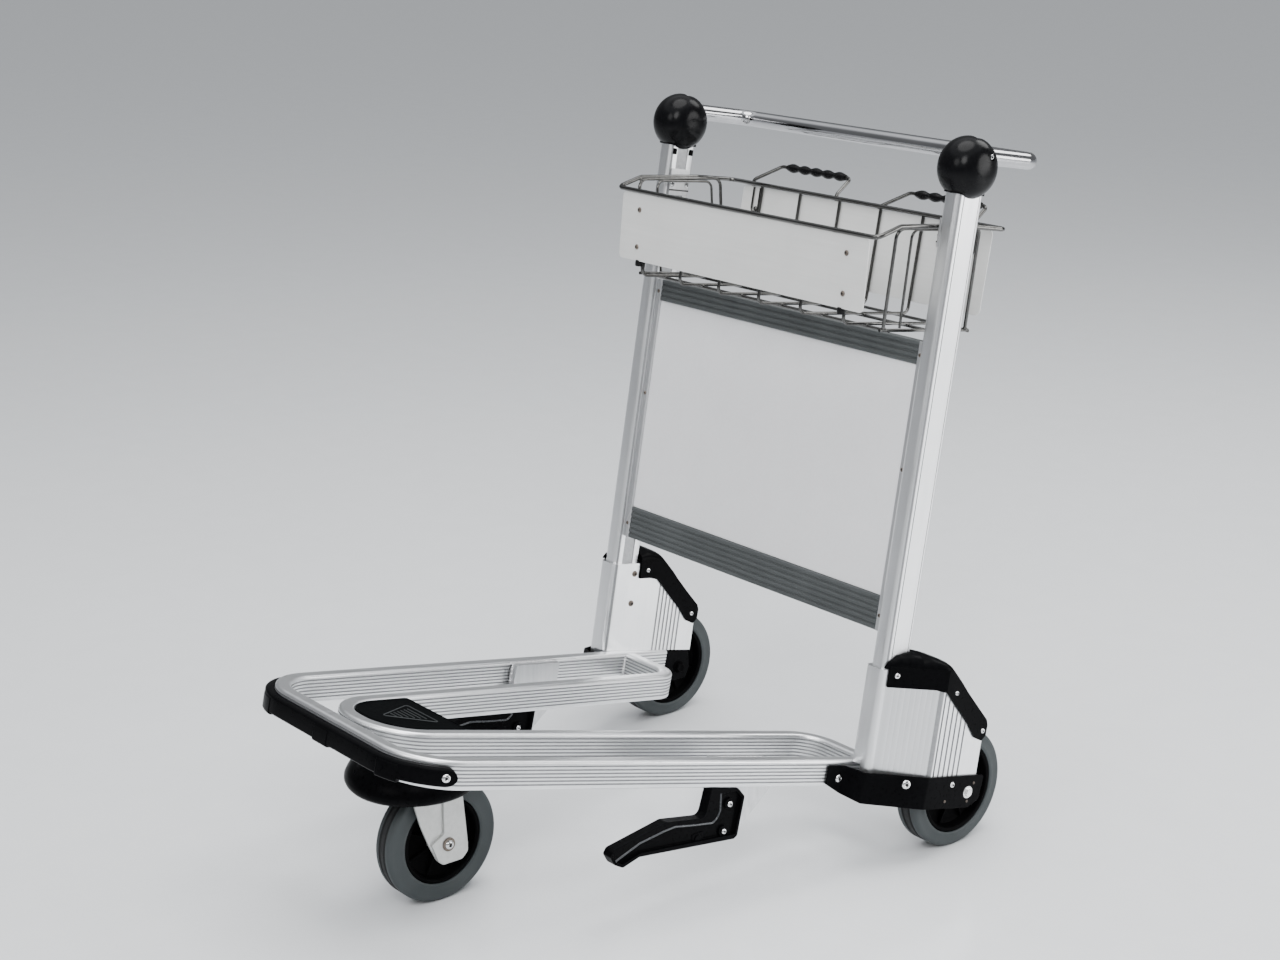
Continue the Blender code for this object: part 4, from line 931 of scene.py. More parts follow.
def build_wheel(tag, body, place, half, hub_r, boss):
    """Ribbed hub and grooved tyre turning on one axle."""
    rim = hub_r - 0.0008
    hub = [(0.0064, -boss), (0.0142, -boss), (0.015, -boss + 0.001), (0.0165, -0.005)]
    hub += [(0.022, -0.0035), (hub_r - 0.016, -0.0035), (hub_r - 0.01, -0.006)]
    hub += [(hub_r - 0.0075, -half + 0.0026), (hub_r - 0.006, -half + 0.0014)]
    hub += [(rim - 0.001, -half + 0.0014), (rim, -half + 0.003)]
    hub += [(r, -a) for r, a in reversed(hub)]
    parts = [lathe(hub, 64, closed=True)]
    for k in range(SPOKES):
        turn = Matrix.Rotation(2.0 * math.pi * (k + 0.5) / SPOKES, 4, "X")
        web = [(0.015, -half * 0.62), (hub_r - 0.008, -half * 0.4)]
        web += [(hub_r - 0.008, half * 0.4), (0.015, half * 0.62)]
        rib = prism([(a, r) for r, a in web], -0.0014, 0.0014, "Z")
        parts.append(moved(rib, turn))
    piece(tag + "_hub_ribbed", parts, place, body, "hub", (tag + "_hub",), bevel=0.0005)

    groove = 0.0024
    side_line = [(hub_r - 0.0006, half - 0.0008), (hub_r + 0.0016, half), (hub_r + 0.0042, half)]
    side_line += [(hub_r + 0.006, half - 0.0009), (WHEEL_R - SHOULDER - 0.0018, half - 0.0006)]
    corner = [(WHEEL_R - SHOULDER + SHOULDER * math.sin(math.radians(a)),
               half - 0.0006 - SHOULDER * (1.0 - math.cos(math.radians(a))))
              for a in (0, 18, 36, 54, 72, 90)]
    tread_half = corner[-1][1]
    place_at = 0.45 * tread_half
    floor = WHEEL_R - TREAD_CUT
    cut = [(WHEEL_R, place_at + groove), (floor, place_at + 0.5 * groove)]
    cut += [(floor, place_at - 0.5 * groove), (WHEEL_R, place_at - groove)]
    right = side_line + corner + cut
    profile = [(r, a) for r, a in right] + [(r, -a) for r, a in reversed(right)]
    tyre = piece(tag + "_tyre_grooved", lathe(profile, 72, closed=True), place, body, "tyre",
                 (tag + "_tyre",), angle=40)
    # The tread band and its two grooves take a darker rubber: painted shade in the grooves, spread
    # over the rib between them.
    tyre.data.materials.append(LOOKS["tread"])
    for face in tyre.data.polygons:
        middle = face.center
        if abs(middle.x) < place_at + groove and math.hypot(middle.y, middle.z) > WHEEL_R - 0.004:
            face.material_index = 1


# ---------------------------------------------------------------- rear corner

def flare_x(back, wall=0.0):
    """Outer side of the housing at a distance behind the post axis."""
    return min(0.017 + 0.5 * (back + 0.02), WALL_X) - wall


def housing_plan():
    """Outline of the housing across the post, outward side positive, with all its flutes."""
    outline = rounded([(-0.0195, 0.0), (-0.0195, -0.0305), (0.015, -0.0305), (0.0172, -0.0195)],
                      [0.0, 0.011, 0.008, 0.0], 8, closed=False)
    outline += [(0.0162, -0.0186), (0.0178, -0.015), (0.0205, -0.013)]
    for i in range(9):
        back = -0.0065 + 0.0077 * i
        for step, depth in ((-0.0012, 0.0), (-0.0004, 0.0007), (0.0004, 0.0007), (0.0012, 0.0)):
            outline.append((flare_x(back + step) - depth, back + step))
    outline.append((WALL_X, 0.0632))
    for i in range(6):
        back = 0.066 + 0.0105 * i
        outline += [(WALL_X, back), (WALL_X - 0.0016, back + 0.0006)]
        outline += [(WALL_X - 0.0016, back + 0.0028), (WALL_X, back + 0.0036)]
    outline += [(WALL_X, HOUSING_REAR), (-0.0195, HOUSING_REAR)]
    for i in range(7):
        back = 0.13 - 0.0085 * i
        outline += [(-0.0195, back), (-0.0183, back - 0.0008)]
        outline += [(-0.0183, back - 0.003), (-0.0195, back - 0.0038)]
    return outline


def post_section(half_w, half_d, front_r, rear_r, steps=6):
    """Closed post outline with a rounded front."""
    return slab(half_w, -half_d, half_d, [front_r, front_r, rear_r, rear_r], steps)


def build_housing(side, tag):
    """Rear aluminium housing: post socket in front, wheel well behind."""
    place = lean_matrix(side)
    housing = raw_object("housing_fluted_" + tag,
                         prism(flip(housing_plan(), side), -0.06, HOUSING_TOP), place)
    socket = post_section(POST_HALF_W + 0.0003, POST_HALF_D + 0.0003, 0.0085, 0.003)
    well = [(-0.0165, 0.029), (flare_x(0.029, 0.0034), 0.029), (WALL_X - 0.003, 0.064)]
    well += [(WALL_X - 0.003, 0.2), (-0.0165, 0.2)]
    cell = [(0.0185, 0.001), (flare_x(0.001, 0.0034), 0.001), (flare_x(0.0255, 0.0034), 0.0255)]
    cell.append((0.0185, 0.0255))
    slope = [(SLOPE_START, 0.1425), (HOUSING_REAR, 0.062), (0.172, 0.06), (0.172, 0.3)]
    slope.append((SLOPE_START, 0.3))
    shapes = [prism(flip(outline, side), -0.1, 0.2) for outline in (socket, well, cell)]
    cutters = cutting(place, *shapes, prism(slope, -0.1, 0.1, "X"))
    below = box(-0.5, 0.5, -0.35, 0.15, -0.2, -0.018)
    near = sorted((side * 0.2, side * (POST_X + 0.0018)))
    foot = box(near[0], near[1], -0.35, 0.15, -0.2, 0.0003)
    carve(housing, cutters + cutting(deck_matrix(), below, foot))
    # The flute faces get the painted shade.
    shade_grooves(housing, lambda at: WALL_X - 0.002 < side * at.x < WALL_X - 0.0006
                 or -0.0191 < side * at.x < -0.018)
    dress(housing, "frame", "post", ("housing_" + tag,), angle=30)
    bolts = [screw_at((-side * 0.0194, back, height), (-side, 0, 0), 0.0052, 0.003)
             for back, height in ((0.0165, 0.1245), (0.017, 0.0738))]
    piece("housing_bolts_" + tag, bolts, place, "frame", "bolt_dark")


FLANGE_TOP = 0.1475
FLANGE_SLOPE = 0.8836
# distance behind the post axis, and height of the dome above the flange there
CROWN = ((-0.0295, 0.0045), (-0.02, 0.0105), (0.000, 0.017), (0.02, 0.0195), (0.04, 0.019),
         (0.055, 0.015), (0.07, 0.0105), (0.085, 0.011), (0.0995, 0.0105), (0.12, 0.006),
         (0.151, 0.0004))


def crown(side, start, end, inner):
    """Smooth dome on the guard between two distances behind the post axis."""
    stations, across = 26, 16
    shape = bmesh.new()
    top, bottom = [], []
    for i in range(stations + 1):
        back = start + (end - start) * i / stations
        level = min(FLANGE_TOP, 0.147 - FLANGE_SLOPE * (back - SLOPE_START))
        for (back_0, rise_0), (back_1, rise_1) in zip(CROWN, CROWN[1:]):
            if back_0 <= back <= back_1:
                share = (back - back_0) / (back_1 - back_0)
                rise = rise_0 + (rise_1 - rise_0) * (3.0 * share ** 2 - 2.0 * share ** 3)
        if inner < 0.0:
            rise *= min(1.0, 0.6 + (back - start) / 0.05)
        outer = flare_x(back) + 0.002
        middle, reach = 0.5 * (outer - 0.0225), 0.5 * (outer + 0.0225)
        upper, lower = [], []
        for k in range(across + 1):
            x = inner + (outer - inner) * (0.5 - 0.5 * math.cos(math.pi * k / across))
            arch = max(0.0, 1.0 - abs((x - middle) / reach) ** 2.8) ** 0.42
            upper.append(shape.verts.new((side * x, back, level - 0.0006 + rise * arch)))
            lower.append(shape.verts.new((side * x, back, level - 0.0032)))
        top.append(upper)
        bottom.append(lower)
    for i in range(stations):
        for k in range(across):
            shape.faces.new((top[i][k], top[i][k + 1], top[i + 1][k + 1], top[i + 1][k]))
            under = (bottom[i][k + 1], bottom[i][k], bottom[i + 1][k], bottom[i + 1][k + 1])
            shape.faces.new(under)
        for k in (0, across):
            shape.faces.new((top[i][k], top[i + 1][k], bottom[i + 1][k], bottom[i][k]))
    for i in (0, stations):
        for k in range(across):
            shape.faces.new((top[i][k + 1], top[i][k], bottom[i][k], bottom[i][k + 1]))
    return shape


def build_guard(side, tag):
    """Black cover over the housing top and the sloping back edge, with its screws."""
    place = lean_matrix(side)
    shape = moved(cad_shape("guard_" + tag), place.inverted())
    every = list(shape.verts) + list(shape.edges) + list(shape.faces)
    bmesh.ops.bisect_plane(shape, geom=every, plane_co=(0.0, 0.0, FLANGE_TOP),
                           plane_no=(0.0, 0.0, 1.0), clear_outer=True)
    rim = [edge for edge in shape.edges if edge.is_boundary]
    bmesh.ops.edgenet_fill(shape, edges=rim)
    piece("guard_flange_" + tag, shape, place, "frame", "black", ("guard_" + tag,), bevel=0.0011,
          steps=3, angle=40)
    domes = [crown(side, -0.027, 0.0285, 0.016), crown(side, 0.0275, 0.15, -0.0225)]
    piece("guard_crown_" + tag, domes, place, "frame", "black", angle=50)
    slant = Vector((side * 0.8998, -0.4364, 0.0))
    screws = [screw_at((side * 0.0262, -0.0077, 0.1345), slant, 0.0044, 0.0024)]
    for back, height, radius in ((0.087, 0.112, 0.0036), (0.159, 0.048, 0.004)):
        outer = (side * (WALL_X + 0.0033), back, height)
        screws.append(screw_at(outer, (side, 0, 0), radius, 0.0022))
    for back, height in ((0.0428, 0.1305), (0.1536, 0.05)):
        inner = (-side * 0.0228, back, height)
        screws.append(screw_at(inner, (-side, 0, 0), 0.0038, 0.0022))
    piece("guard_screws_" + tag, screws, place, "frame", "screw")


def build_brackets(side, tag):
    """Axle bracket round the housing foot, inner plate, and their fasteners."""
    edged_copy("axle_bracket_" + tag, "frame", "black", 0.0006, 2, 40)
    edged_copy("inner_plate_" + tag, "frame", "black", 0.0006, 2, 40)
    deck = deck_matrix()
    slant = Vector((side * 0.917, -0.398, 0.0))
    tab = Vector((side * 0.985, -0.174, 0.0))
    screws = [
        screw_at((side * 0.2941, -0.1925, -0.026), tab, 0.0062, 0.0028),
        screw_at((side * 0.3576, -0.1168, -0.0182), slant, 0.0072, 0.0028),
        screw_at((side * 0.3713, -0.0307, -0.0184), (side, 0, 0), 0.0046, 0.0026),
    ]
    piece("bracket_screws_" + tag, screws, deck, "frame", "screw")
    rivets = [screw_at((side * 0.3713, y, z), (side, 0, 0), 0.0022, 0.001)
              for y, z in ((0.018, -0.018), (-0.04, -0.044), (0.01, -0.046))]
    piece("bracket_rivets_" + tag, rivets, deck, "frame", "bolt_dark")
    wheel = axle_matrix(side * REAR_WHEEL_X, 0.0, AXLE_Z)
    near = side * (0.2931 - REAR_WHEEL_X)
    far = side * (0.3716 - REAR_WHEEL_X)
    outside = facing((far, 0, 0), (side, 0, 0))
    inside = facing((near, 0, 0), (-side, 0, 0))
    bolt = [lathe([(0.006, near), (0.006, far)], 24)]
    bolt += [moved(part, outside) for part in hex_bolt(0.0068, 0.0043, 0.0096)]
    piece("rear_bolt_" + tag, bolt, wheel, "frame", "screw", ("rear_axle_" + tag,))
    nut = [moved(part, inside) for part in hex_bolt(0.0085, 0.0068, 0.0112)]
    piece("rear_nut_" + tag, nut, wheel, "frame", "hub")
    build_wheel("rear_" + tag, "wheel_" + tag, wheel, *REAR_TYRE)


def build_post(side, tag):
    """Grooved hollow upright and the two black clips near its top."""
    place = lean_matrix(side)
    half_w, half_d = POST_HALF_W, POST_HALF_D
    outer = arc((half_w - 0.0085, -half_d + 0.0085), 0.0085, -90.0, 0.0, 8)
    for middle, width, depth in ((-0.0128, 0.0016, 0.0013), (0.0192, 0.0013, 0.0011)):
        outer += [(half_w, middle - 0.5 * width), (half_w - depth, middle - 0.25 * width)]
        outer += [(half_w - depth, middle + 0.25 * width), (half_w, middle + 0.5 * width)]
    outer += arc((half_w - 0.003, half_d - 0.003), 0.003, 0.0, 90.0, 4)
    outer += arc((-half_w + 0.003, half_d - 0.003), 0.003, 90.0, 180.0, 4)
    outer += [(-half_w, 0.0125), (-half_w + 0.0012, 0.0117), (-half_w + 0.0012, -0.0092)]
    outer += [(-half_w, -0.01)]
    outer += arc((-half_w + 0.0085, -half_d + 0.0085), 0.0085, 180.0, 270.0, 8)
    bore = post_section(half_w - 0.0025, half_d - 0.0025, 0.006, 0.0015)
    post = raw_object("post_grooved_" + tag, prism(flip(outer, side), 0.036, KNOB_H - 0.014), place)
    carve(post, cutting(place, prism(flip(bore, side), 0.0, 1.0)))
    # The groove faces get the painted shade.
    shade_grooves(post, lambda at: half_w - 0.0019 < side * at.x < half_w - 0.0004
                 or -half_w + 0.0004 < side * at.x < -half_w + 0.0016)
    dress(post, "frame", "post", ("post_" + tag,), angle=30)
    low, high = sorted((-side * (half_w + 0.0026), -side * (half_w - 0.002)))
    clips = [box(low, high, back - 0.0032, back + 0.0032, 0.8165, 0.826)
             for back in (-0.016, 0.018)]
    piece("post_clips_" + tag, clips, place, "frame", "black", bevel=0.0009)


def build_knob(side, tag):
    """Rounded knob on the post top, slotted for the push bar, and its hinge pin."""
    half_w, half_d = POST_HALF_W, POST_HALF_D
    centre = lean_matrix(side, KNOB_H)
    profile = []
    for i in range(29):
        turn = math.pi * i / 28.0
        radius = KNOB_R * math.sin(turn) ** 0.72
        profile.append((radius if 0 < i < 28 else 0.0, -KNOB_HALF_T * math.cos(turn)))
    knob = raw_object("knob_moulded_" + tag, lathe(profile, 64), centre)
    seat = post_section(half_w + 0.0003, half_d + 0.0003, 0.0085, 0.003)
    collar = post_section(half_w + 0.0032, half_d + 0.0032, 0.011, 0.006)
    collar = raw_object("collar", prism(collar, -0.0365, -0.02), centre)
    carve(knob, [collar], "UNION")
    slot = [(-0.0035, 0.046), (0.06, 0.046), (0.06, -0.0105), (0.014, 0.001)]
    slot.append((-0.0035, 0.003))
    half = HANDLE_R + 0.0006
    shaft = [(-0.0185, 0.0365), (0.006, 0.0365), (0.006, -0.02), (-0.0185, -0.02)]
    cutters = cutting(centre, prism(seat, -0.1, -0.0137), prism(slot, -half, half, "X"),
                      prism(shaft, -0.0074, 0.0074, "X"))
    pin_place = lean_matrix(side, KNOB_H + PIVOT_Z, PIVOT_Y)
    hole = [(0.0033, -side * 0.022), (0.0033, side * 0.0287), (0.0051, side * 0.0287)]
    hole.append((0.0051, side * 0.045))
    carve(knob, cutters + cutting(pin_place, lathe(hole, 32)))
    dress(knob, "frame", "gloss", ("knob_" + tag,), angle=40)
    pin = [lathe([(0.003, -side * 0.0215), (0.003, side * 0.029)], 24)]
    pin.append(screw_at((side * 0.029, 0, 0), (side, 0, 0), 0.0048, 0.0036))
    piece("hinge_pin_turned_" + tag, pin, pin_place, "frame", "screw", ("hinge_pin_" + tag,))


def build_brake(side, tag):
    """Brake rod in the post and the shoe above the rear tyre."""
    head = KNOB_H + PIVOT_Z + 0.0053
    rod = [(0.0, 0.021), (0.003, 0.021), (0.0035, 0.0216), (0.0035, head), (0.0056, head)]
    rod += [(0.006, head + 0.0004), (0.006, head + 0.0026), (0.0056, head + 0.003)]
    rod.append((0.0, head + 0.003))
    piece("brake_rod_turned_" + tag, lathe(rod, 24, "Z"), lean_matrix(side, 0.0, -0.01),
          "brake_" + tag, "zinc", ("brake_rod_" + tag,))
    edged_copy("brake_shoe_" + tag, "brake_" + tag, "brake", 0.0008)


# ---------------------------------------------------------------- upper structure

def build_handle():
    """Polished push bar with a lever in each end."""
    path = [(POST_X, 0.0, HANDLE_LIFT), (POST_X, HANDLE_BACK, HANDLE_LIFT)]
    path += [(-POST_X, HANDLE_BACK, HANDLE_LIFT), (-POST_X, 0.0, HANDLE_LIFT)]
    path = rounded(path, 0.028, 16, closed=False)
    path = [(x, y - PIVOT_Y, z - PIVOT_Z) for x, y, z in path]
    centre = lean_matrix(0.0, KNOB_H + PIVOT_Z, PIVOT_Y)
    bar = raw_object("push_bar", tube(path, HANDLE_R, 40), centre)
    quarter = Matrix.Rotation(-0.5 * math.pi, 4, "X")
    bores = []
    for side, _ in SIDES:
        bore = lathe([(0.0103, -0.03), (0.0103, 0.06)], 32, "Z")
        bores.append(moved(bore, Matrix.Translation((side * POST_X, -PIVOT_Y, 0.0)) @ quarter))
    bores.append(lathe([(0.0034, -0.4), (0.0034, 0.4)], 24))
    carve(bar, cutting(centre, *bores))
    dress(bar, "handle", "chrome", ("handle_bar",), angle=40)
    for side, tag in SIDES:
        edged_copy("brake_lever_" + tag, "handle", "zinc", 0.0005)


BAR_FRONT = -0.014
BAR_BACK = 0.006
BAR_PITCH = 0.0088


def ribbed_bar(low, ribs):
    """Front and back outline of a cross bar with horizontal ribs."""
    high = low + 0.007 + BAR_PITCH * ribs
    profile = [(BAR_FRONT, low + 0.001), (BAR_FRONT, low + 0.0048)]
    for i in range(ribs):
        start = low + 0.0058 + BAR_PITCH * i
        profile += [(BAR_FRONT, start), (-0.0124, start + 0.0008), (-0.0124, start + 0.0034)]
        profile.append((BAR_FRONT, start + 0.0042))
    profile += [(BAR_FRONT, high - 0.001), (-0.013, high), (0.005, high), (BAR_BACK, high - 0.001)]
    for i in range(ribs):
        start = high - 0.008 - BAR_PITCH * i
        profile += [(BAR_BACK, start), (0.005, start - 0.0008), (0.005, start - 0.003)]
        profile.append((BAR_BACK, start - 0.0038))
    profile += [(BAR_BACK, low + 0.001), (0.005, low), (-0.013, low)]
    return profile


def build_panel():
    """Sign panel between the posts with its cross bars and side channels."""
    place = lean_matrix()
    inner = POST_X - POST_HALF_W - 0.0003
    for name, low, ribs in (("lower_bar", 0.19, 5), ("upper_bar", 0.583, 3)):
        piece(name + "_ribbed", prism(ribbed_bar(low, ribs), -0.2837, 0.2837, "X"), place, "frame",
              "grey", (name,), angle=30)
    panel = slab(0.2895, 0.2415, 0.5826, 0.003, 4)
    field = slab(0.283, 0.242, 0.582, 0.0015, 3)
    parts = [prism(panel, -0.011, -0.008, "Y"), prism(field, -0.0115, -0.0095, "Y")]
    piece("sign_panel_sheet", parts, place, "frame", "panel", ("sign_panel",), bevel=0.0003)
    for side, tag in SIDES:
        rail = [(0.284, -0.0135), (0.285, -0.015), (inner - 0.0012, -0.015), (inner, -0.0138)]
        rail += [(inner, 0.006), (0.284, 0.006), (0.284, -0.0075), (0.29, -0.0075)]
        rail += [(0.29, -0.0115), (0.284, -0.0115)]
        piece("side_channel_edged_" + tag, prism(flip(rail, side), 0.19, 0.6164), place, "frame",
              "satin", ("side_channel_" + tag,), bevel=0.0005)
        rivets = [screw_at((side * 0.2893, -0.0149, height), (0, -1, 0), 0.003, 0.0014)
                  for height in (0.213, 0.43, 0.597)]
        piece("channel_rivets_" + tag, rivets, place, "frame", "bolt_dark")


RIM_WIRE = 0.0035
FLOOR_WIRE = 0.0025
LIFT_WIRE = 0.003
CROSS_WIRES = (-0.095, -0.01, 0.07)
SHEET_HALF_W = 0.27


def basket_point(x, y, height):
    """Point of the basket in the axle frame; height 0 is the floor, 1 the rim."""
    floor = 0.7985 - 0.135 * (y + 0.145)
    rim = 0.94 - 0.105 * (y + 0.09)
    return (x, y, floor + (rim - floor) * height)


def build_basket_wires():
    """Rim, bottom, front and end wires of the basket, with a weld blob at each joint."""
    rim = [(0.284, -0.141, 0.929), (0.284, -0.095, 0.94), (0.287, 0.025, 0.9285)]
    rim.append((0.298, 0.11, 0.915))
    rim += [(-x, y, z) for x, y, z in reversed(rim)]
    rim = rounded(rim, [0.012, 0.02, 0.02, 0.012, 0.012, 0.02, 0.02, 0.012], 6)
    wires = [tube(rim, RIM_WIRE, 16, closed=True)]
    blobs = []
    for i in range(6):
        x = 0.0445 * (2 * i - 5)
        path = [(x, -0.133, 0.85), basket_point(x, -0.143, 0.0), basket_point(x, 0.082, 0.0)]
        path += [(x, 0.1095, 0.9155)]
        wires.append(bent(path, 0.01, 6, FLOOR_WIRE, 12))
        blobs.append((x, 0.1095, 0.915))
        for y in CROSS_WIRES:
            spot = basket_point(x, y, 0.0)
            blobs.append((spot[0], spot[1], spot[2] - 0.0018))
    for side, _ in reversed(SIDES):
        path = [(side * 0.2665, -0.106, 0.793), (side * 0.282, -0.1, 0.9372)]
        path += [(side * 0.282, 0.07, 0.9225), (side * 0.2665, 0.064, 0.77)]
        wires.append(bent(path, 0.014, 6, 0.0026, 12))
        path = [(side * 0.264, -0.07, 0.789), (side * 0.279, -0.066, 0.932)]
        path += [(side * 0.279, 0.048, 0.9195), (side * 0.264, 0.044, 0.773)]
        wires.append(bent(path, 0.012, 6, 0.002, 12))
        path = [(side * 0.2655, -0.112, 0.7915), (side * 0.2655, 0.072, 0.7665)]
        wires.append(tube(path, FLOOR_WIRE, 12))
        blobs += [(side * 0.283, -0.096, 0.9365), (side * 0.2835, 0.064, 0.9235)]
        blobs += [(side * 0.2665, -0.105, 0.793), (side * 0.2665, 0.064, 0.77)]
    for y in CROSS_WIRES:
        level = basket_point(0.0, y, 0.0)[2] - 0.0035
        wires.append(tube([(0.268, y, level), (-0.268, y, level)], FLOOR_WIRE, 12))
    for spot in blobs:
        ball = bmesh.new()
        bmesh.ops.create_icosphere(ball, subdivisions=2, radius=0.0033)
        stretch = Matrix.Diagonal((1.25, 1.05, 0.9, 1.0))
        wires.append(moved(ball, Matrix.Translation(spot) @ stretch))
    piece("basket_wires", wires, axle_matrix(), "frame", "wire", ("basket_frame",), angle=50)


def sheet_matrix(y, z, slope):
    """Frame at the middle of a leaning sheet, given in the axle frame."""
    return axle_matrix(0.0, y, z) @ Matrix.Rotation(-math.atan(slope), 4, "X")


def build_sheets():
    """Front and rear sheets of the basket with their screws, pads and eyes."""
    front = sheet_matrix(-0.1365, 0.8725, 0.0928)
    rear = sheet_matrix(0.096, 0.848, 0.183)
    for name, place, low, high, near, far in (
            ("front_sheet", front, -0.052, 0.052, -0.01, -0.0085),
            ("rear_sheet", rear, -0.063, 0.064, 0.0045, 0.006)):
        sheet = prism(slab(SHEET_HALF_W, low, high, 0.008, 6), near, far, "Y")
        piece(name + "_plate", sheet, place, "frame", "sheet", (name,), bevel=0.0004)
    screws, pads = [], []
    for x in (-0.2277, 0.2277):
        for height in (0.027, -0.0305):
            screws.append(screw_at((x, -0.01, height), (0, -1, 0), 0.0042, 0.0022))
            pads.append(screw_at((x, -0.0085, height), (0, 1, 0), 0.0042, 0.003))
    piece("front_sheet_screws", screws + pads, front, "frame", "bolt_dark")
    pad = [(0.0, 0.0), (0.0052, 0.0), (0.006, 0.0014), (0.006, 0.008), (0.0048, 0.0095)]
    pad.append((0.0, 0.0095))
    feet = [moved(lathe(pad, 24, "Z"), Matrix.Translation((x, -0.0065, -0.06)))
            for x in (-0.224, 0.224)]
    piece("front_sheet_pads", feet, front, "frame", "grip")
    eyes = []
    for x in (-0.2345, 0.2345):
        loop = [(x - 0.0075, 0.002, 0.063), (x - 0.0075, 0.002, 0.023)]
        loop += [(x + 0.0075, 0.002, 0.023), (x + 0.0075, 0.002, 0.063)]
        eyes.append(bent(loop, 0.007, 6, 0.0018, 10))
        eyes.append(screw_at((x, 0.0042, 0.029), (0, -1, 0), 0.004, 0.0026))
    piece("rear_sheet_eyes", eyes, rear, "frame", "wire")


def build_lift_loops():
    """Two wire lifting loops behind the basket, each with a beaded grip."""
    pitch = 0.0266
    profile = [(0.0034, 0.0), (0.0042, 0.0)]
    for i in range(5):
        for k in range(1, 13):
            wave = 0.5 - 0.5 * math.cos(2.0 * math.pi * k / 12.0)
            profile.append((0.0046 + 0.0028 * wave ** 0.7, pitch * (i + k / 12.0)))
    profile += [(0.0042, 5.0 * pitch), (0.0034, 5.0 * pitch)]
    for start, level, tag in ((-0.253, 0.9415, "right"), (0.0327, 0.935, "left")):
        foot, back, end = 0.117, 0.148, start + 0.192
        wire = [(start, foot, 0.9), (start, foot, level - 0.0225), (start + 0.035, back, level)]
        wire += [(end, back, level), (end, foot, level - 0.0225), (end, foot, 0.9)]
        piece("lift_loop_" + tag, bent(wire, 0.009, 7, LIFT_WIRE, 14), axle_matrix(), "frame",
              "wire", ("lift_wire_" + tag,), angle=60)
        piece("grip_beaded_" + tag, lathe(profile, 32, closed=True),
              axle_matrix(start + 0.0475, back, level), "frame", "grip", ("grip_" + tag,), angle=60)


def build_basket_brackets():
    """Brackets that hold the basket on the posts, with their screws and wire ledges."""
    for side, tag in SIDES:
        edged_copy("basket_bracket_" + tag, "frame", "satin", 0.0006)
        face = side * (POST_X - POST_HALF_W - 0.0038)
        screws = [screw_at((face, back, 0.769), (-side, 0, 0), 0.0042, 0.0026)
                  for back in (-0.015, 0.015)]
        piece("basket_bracket_screws_" + tag, screws, lean_matrix(), "frame", "screw")
        ledge = tube([(face, -0.02, 0.76), (face, 0.02, 0.76)], 0.0013, 10)
        piece("basket_bracket_ledge_" + tag, ledge, lean_matrix(), "frame", "wire")


# ---------------------------------------------------------------- studio

# world brightness from straight down (0) to straight up (1)
SKY = ((0.5, 0.26), (0.7, 0.28), (0.79, 0.42), (0.86, 1.6), (0.93, 1.6), (0.97, 0.7),
       (1.0, 0.5))
# name, place, target, width and power of each soft lamp
LAMPS = (("key", (3.2, -2.6, 3.6), (0.1, 0.0, 0.5), 2.2, 135.0),
         ("side", (3.1, 2.7, 1.25), (0.3, 0.1, 0.4), 2.2, 80.0),
         ("front", (0.9, -4.4, 3.2), (0.0, 0.0, 0.5), 2.2, 55.0),
         ("top", (0.2, 0.3, 4.2), (0.0, 0.1, 0.5), 3.0, 150.0),
         ("back", (0.4, 3.6, 3.6), (0.0, 0.0, 0.6), 2.2, 70.0))
# camera at the photo's viewing angle: place in the axle frame, turn in degrees, lens in mm
CAMERA_AT = (2.4721, -2.3752, 1.4953)
CAMERA_TURN = (50.39, 16.37, 0.25)
CAMERA_LENS = 64.06875
SENSOR = 36.0


def build_floor():
    """Pale round floor that isn't part of the trolley."""
    shape = bmesh.new()
    bmesh.ops.create_circle(shape, cap_ends=True, segments=96, radius=45.0)
    mesh = bpy.data.meshes.new("floor")
    shape.to_mesh(mesh)
    shape.free()
    floor = bpy.data.objects.new("floor", mesh)
    bpy.context.scene.collection.objects.link(floor)
    mesh.materials.append(surface("pale_floor", ((0.8, 0.815, 0.83), (0.77, 0.785, 0.8)),
                                  (0.2, 0.27), grain=90.0, grain_height=0.00002))


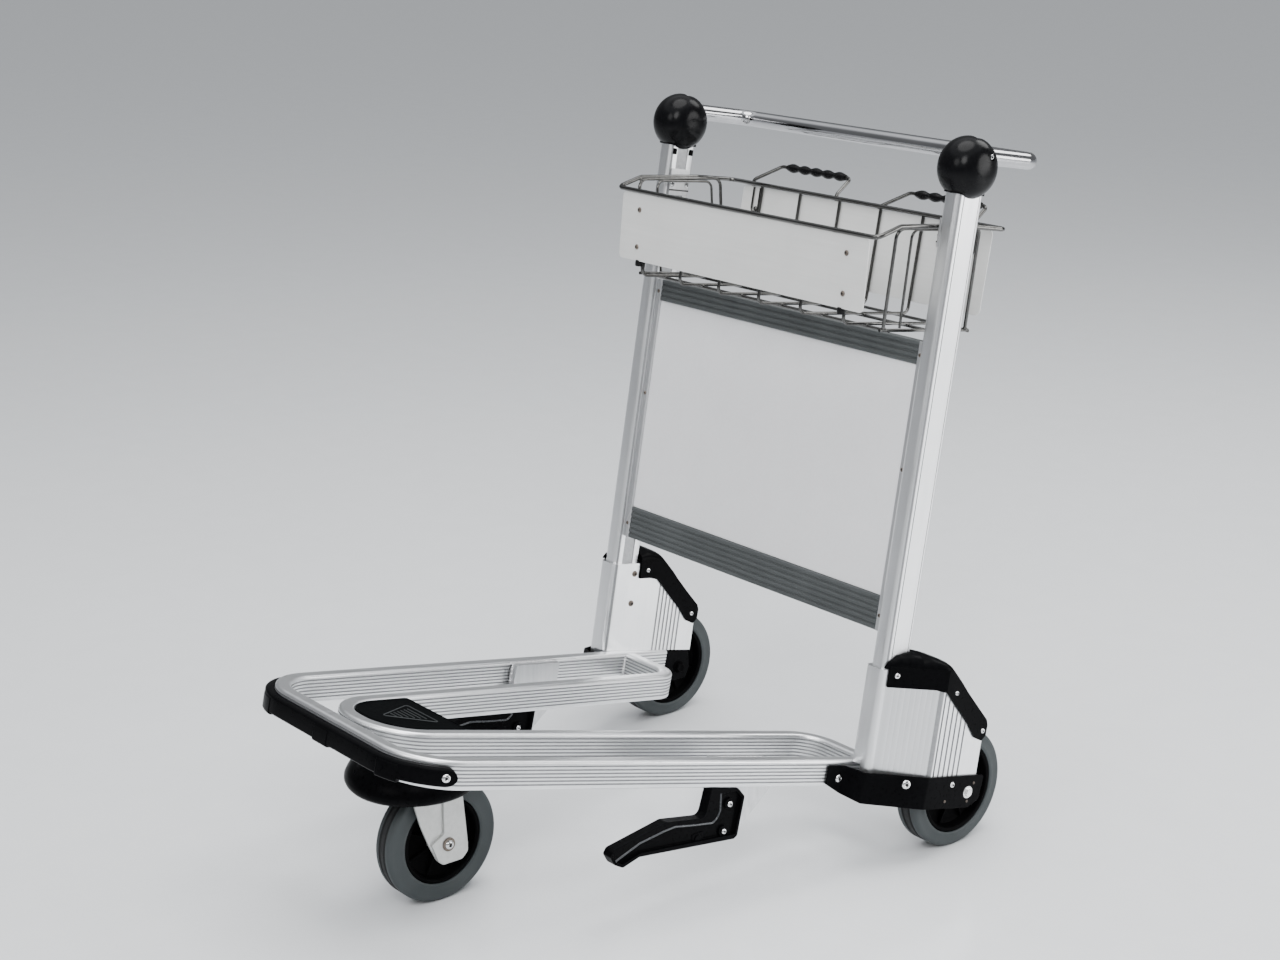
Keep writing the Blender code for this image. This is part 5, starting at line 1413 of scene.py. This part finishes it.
def build_world():
    """Soft sky: dim up to the horizon, brightest in a high band."""
    world = bpy.data.worlds.new("studio")
    bpy.context.scene.world = world
    world.use_nodes = True
    tree = world.node_tree
    coords = tree.nodes.new("ShaderNodeTexCoord")
    split = tree.nodes.new("ShaderNodeSeparateXYZ")
    ramp = tree.nodes.new("ShaderNodeValToRGB")
    ramp.color_ramp.elements[0].position = SKY[0][0]
    ramp.color_ramp.elements[1].position = SKY[-1][0]
    for position, _ in SKY[1:-1]:
        ramp.color_ramp.elements.new(position)
    for element, (_, value) in zip(ramp.color_ramp.elements, SKY):
        element.color = (value * 0.96, value * 0.985, value * 1.02, 1.0)
    lift = tree.nodes.new("ShaderNodeMapRange")
    lift.inputs["From Min"].default_value = -1.0
    lift.inputs["From Max"].default_value = 1.0
    tree.links.new(coords.outputs["Generated"], split.inputs["Vector"])
    tree.links.new(split.outputs["Z"], lift.inputs["Value"])
    tree.links.new(lift.outputs["Result"], ramp.inputs["Fac"])
    tree.links.new(ramp.outputs["Color"], tree.nodes["Background"].inputs["Color"])
    tree.nodes["Background"].inputs["Strength"].default_value = 0.85


def build_lamps():
    """Round area lamps, each turned towards its target."""
    for name, spot, aim, size, power in LAMPS:
        data = bpy.data.lights.new(name, "AREA")
        data.shape = "DISK"
        data.size = size
        data.energy = power
        lamp = bpy.data.objects.new(name, data)
        bpy.context.scene.collection.objects.link(lamp)
        lamp.location = spot
        turn = (Vector(aim) - Vector(spot)).to_track_quat("-Z", "Y")
        lamp.rotation_euler = turn.to_euler()


def build_camera():
    """Camera turned by its azimuth, elevation and roll."""
    azimuth, elevation, roll = map(math.radians, CAMERA_TURN)
    view = Vector((-math.sin(azimuth) * math.cos(elevation),
                   math.cos(azimuth) * math.cos(elevation), -math.sin(elevation)))
    right = Vector((math.cos(azimuth), math.sin(azimuth), 0.0))
    up = right.cross(view)
    right = right * math.cos(roll) + up * math.sin(roll)
    up = right.cross(view)
    data = bpy.data.cameras.new("camera")
    data.sensor_width = SENSOR
    data.lens = CAMERA_LENS
    camera = bpy.data.objects.new("camera", data)
    bpy.context.scene.collection.objects.link(camera)
    turn = Matrix((right, up, -view)).transposed().to_4x4()
    x, y, z = CAMERA_AT
    camera.matrix_world = Matrix.Translation((x, AXLE_Y + y, z)) @ turn
    bpy.context.scene.camera = camera


build_rails()
build_bumper()
build_nose_plate()
build_caster_mount()
build_fork()
build_caster_wheel()
for side_sign, side_name in SIDES:
    build_step_arm(side_sign, side_name)
    build_housing(side_sign, side_name)
    build_guard(side_sign, side_name)
    build_brackets(side_sign, side_name)
    build_post(side_sign, side_name)
    build_knob(side_sign, side_name)
    build_brake(side_sign, side_name)
build_handle()
build_panel()
build_basket_wires()
build_sheets()
build_lift_loops()
build_basket_brackets()
build_floor()
build_world()
build_lamps()
build_camera()
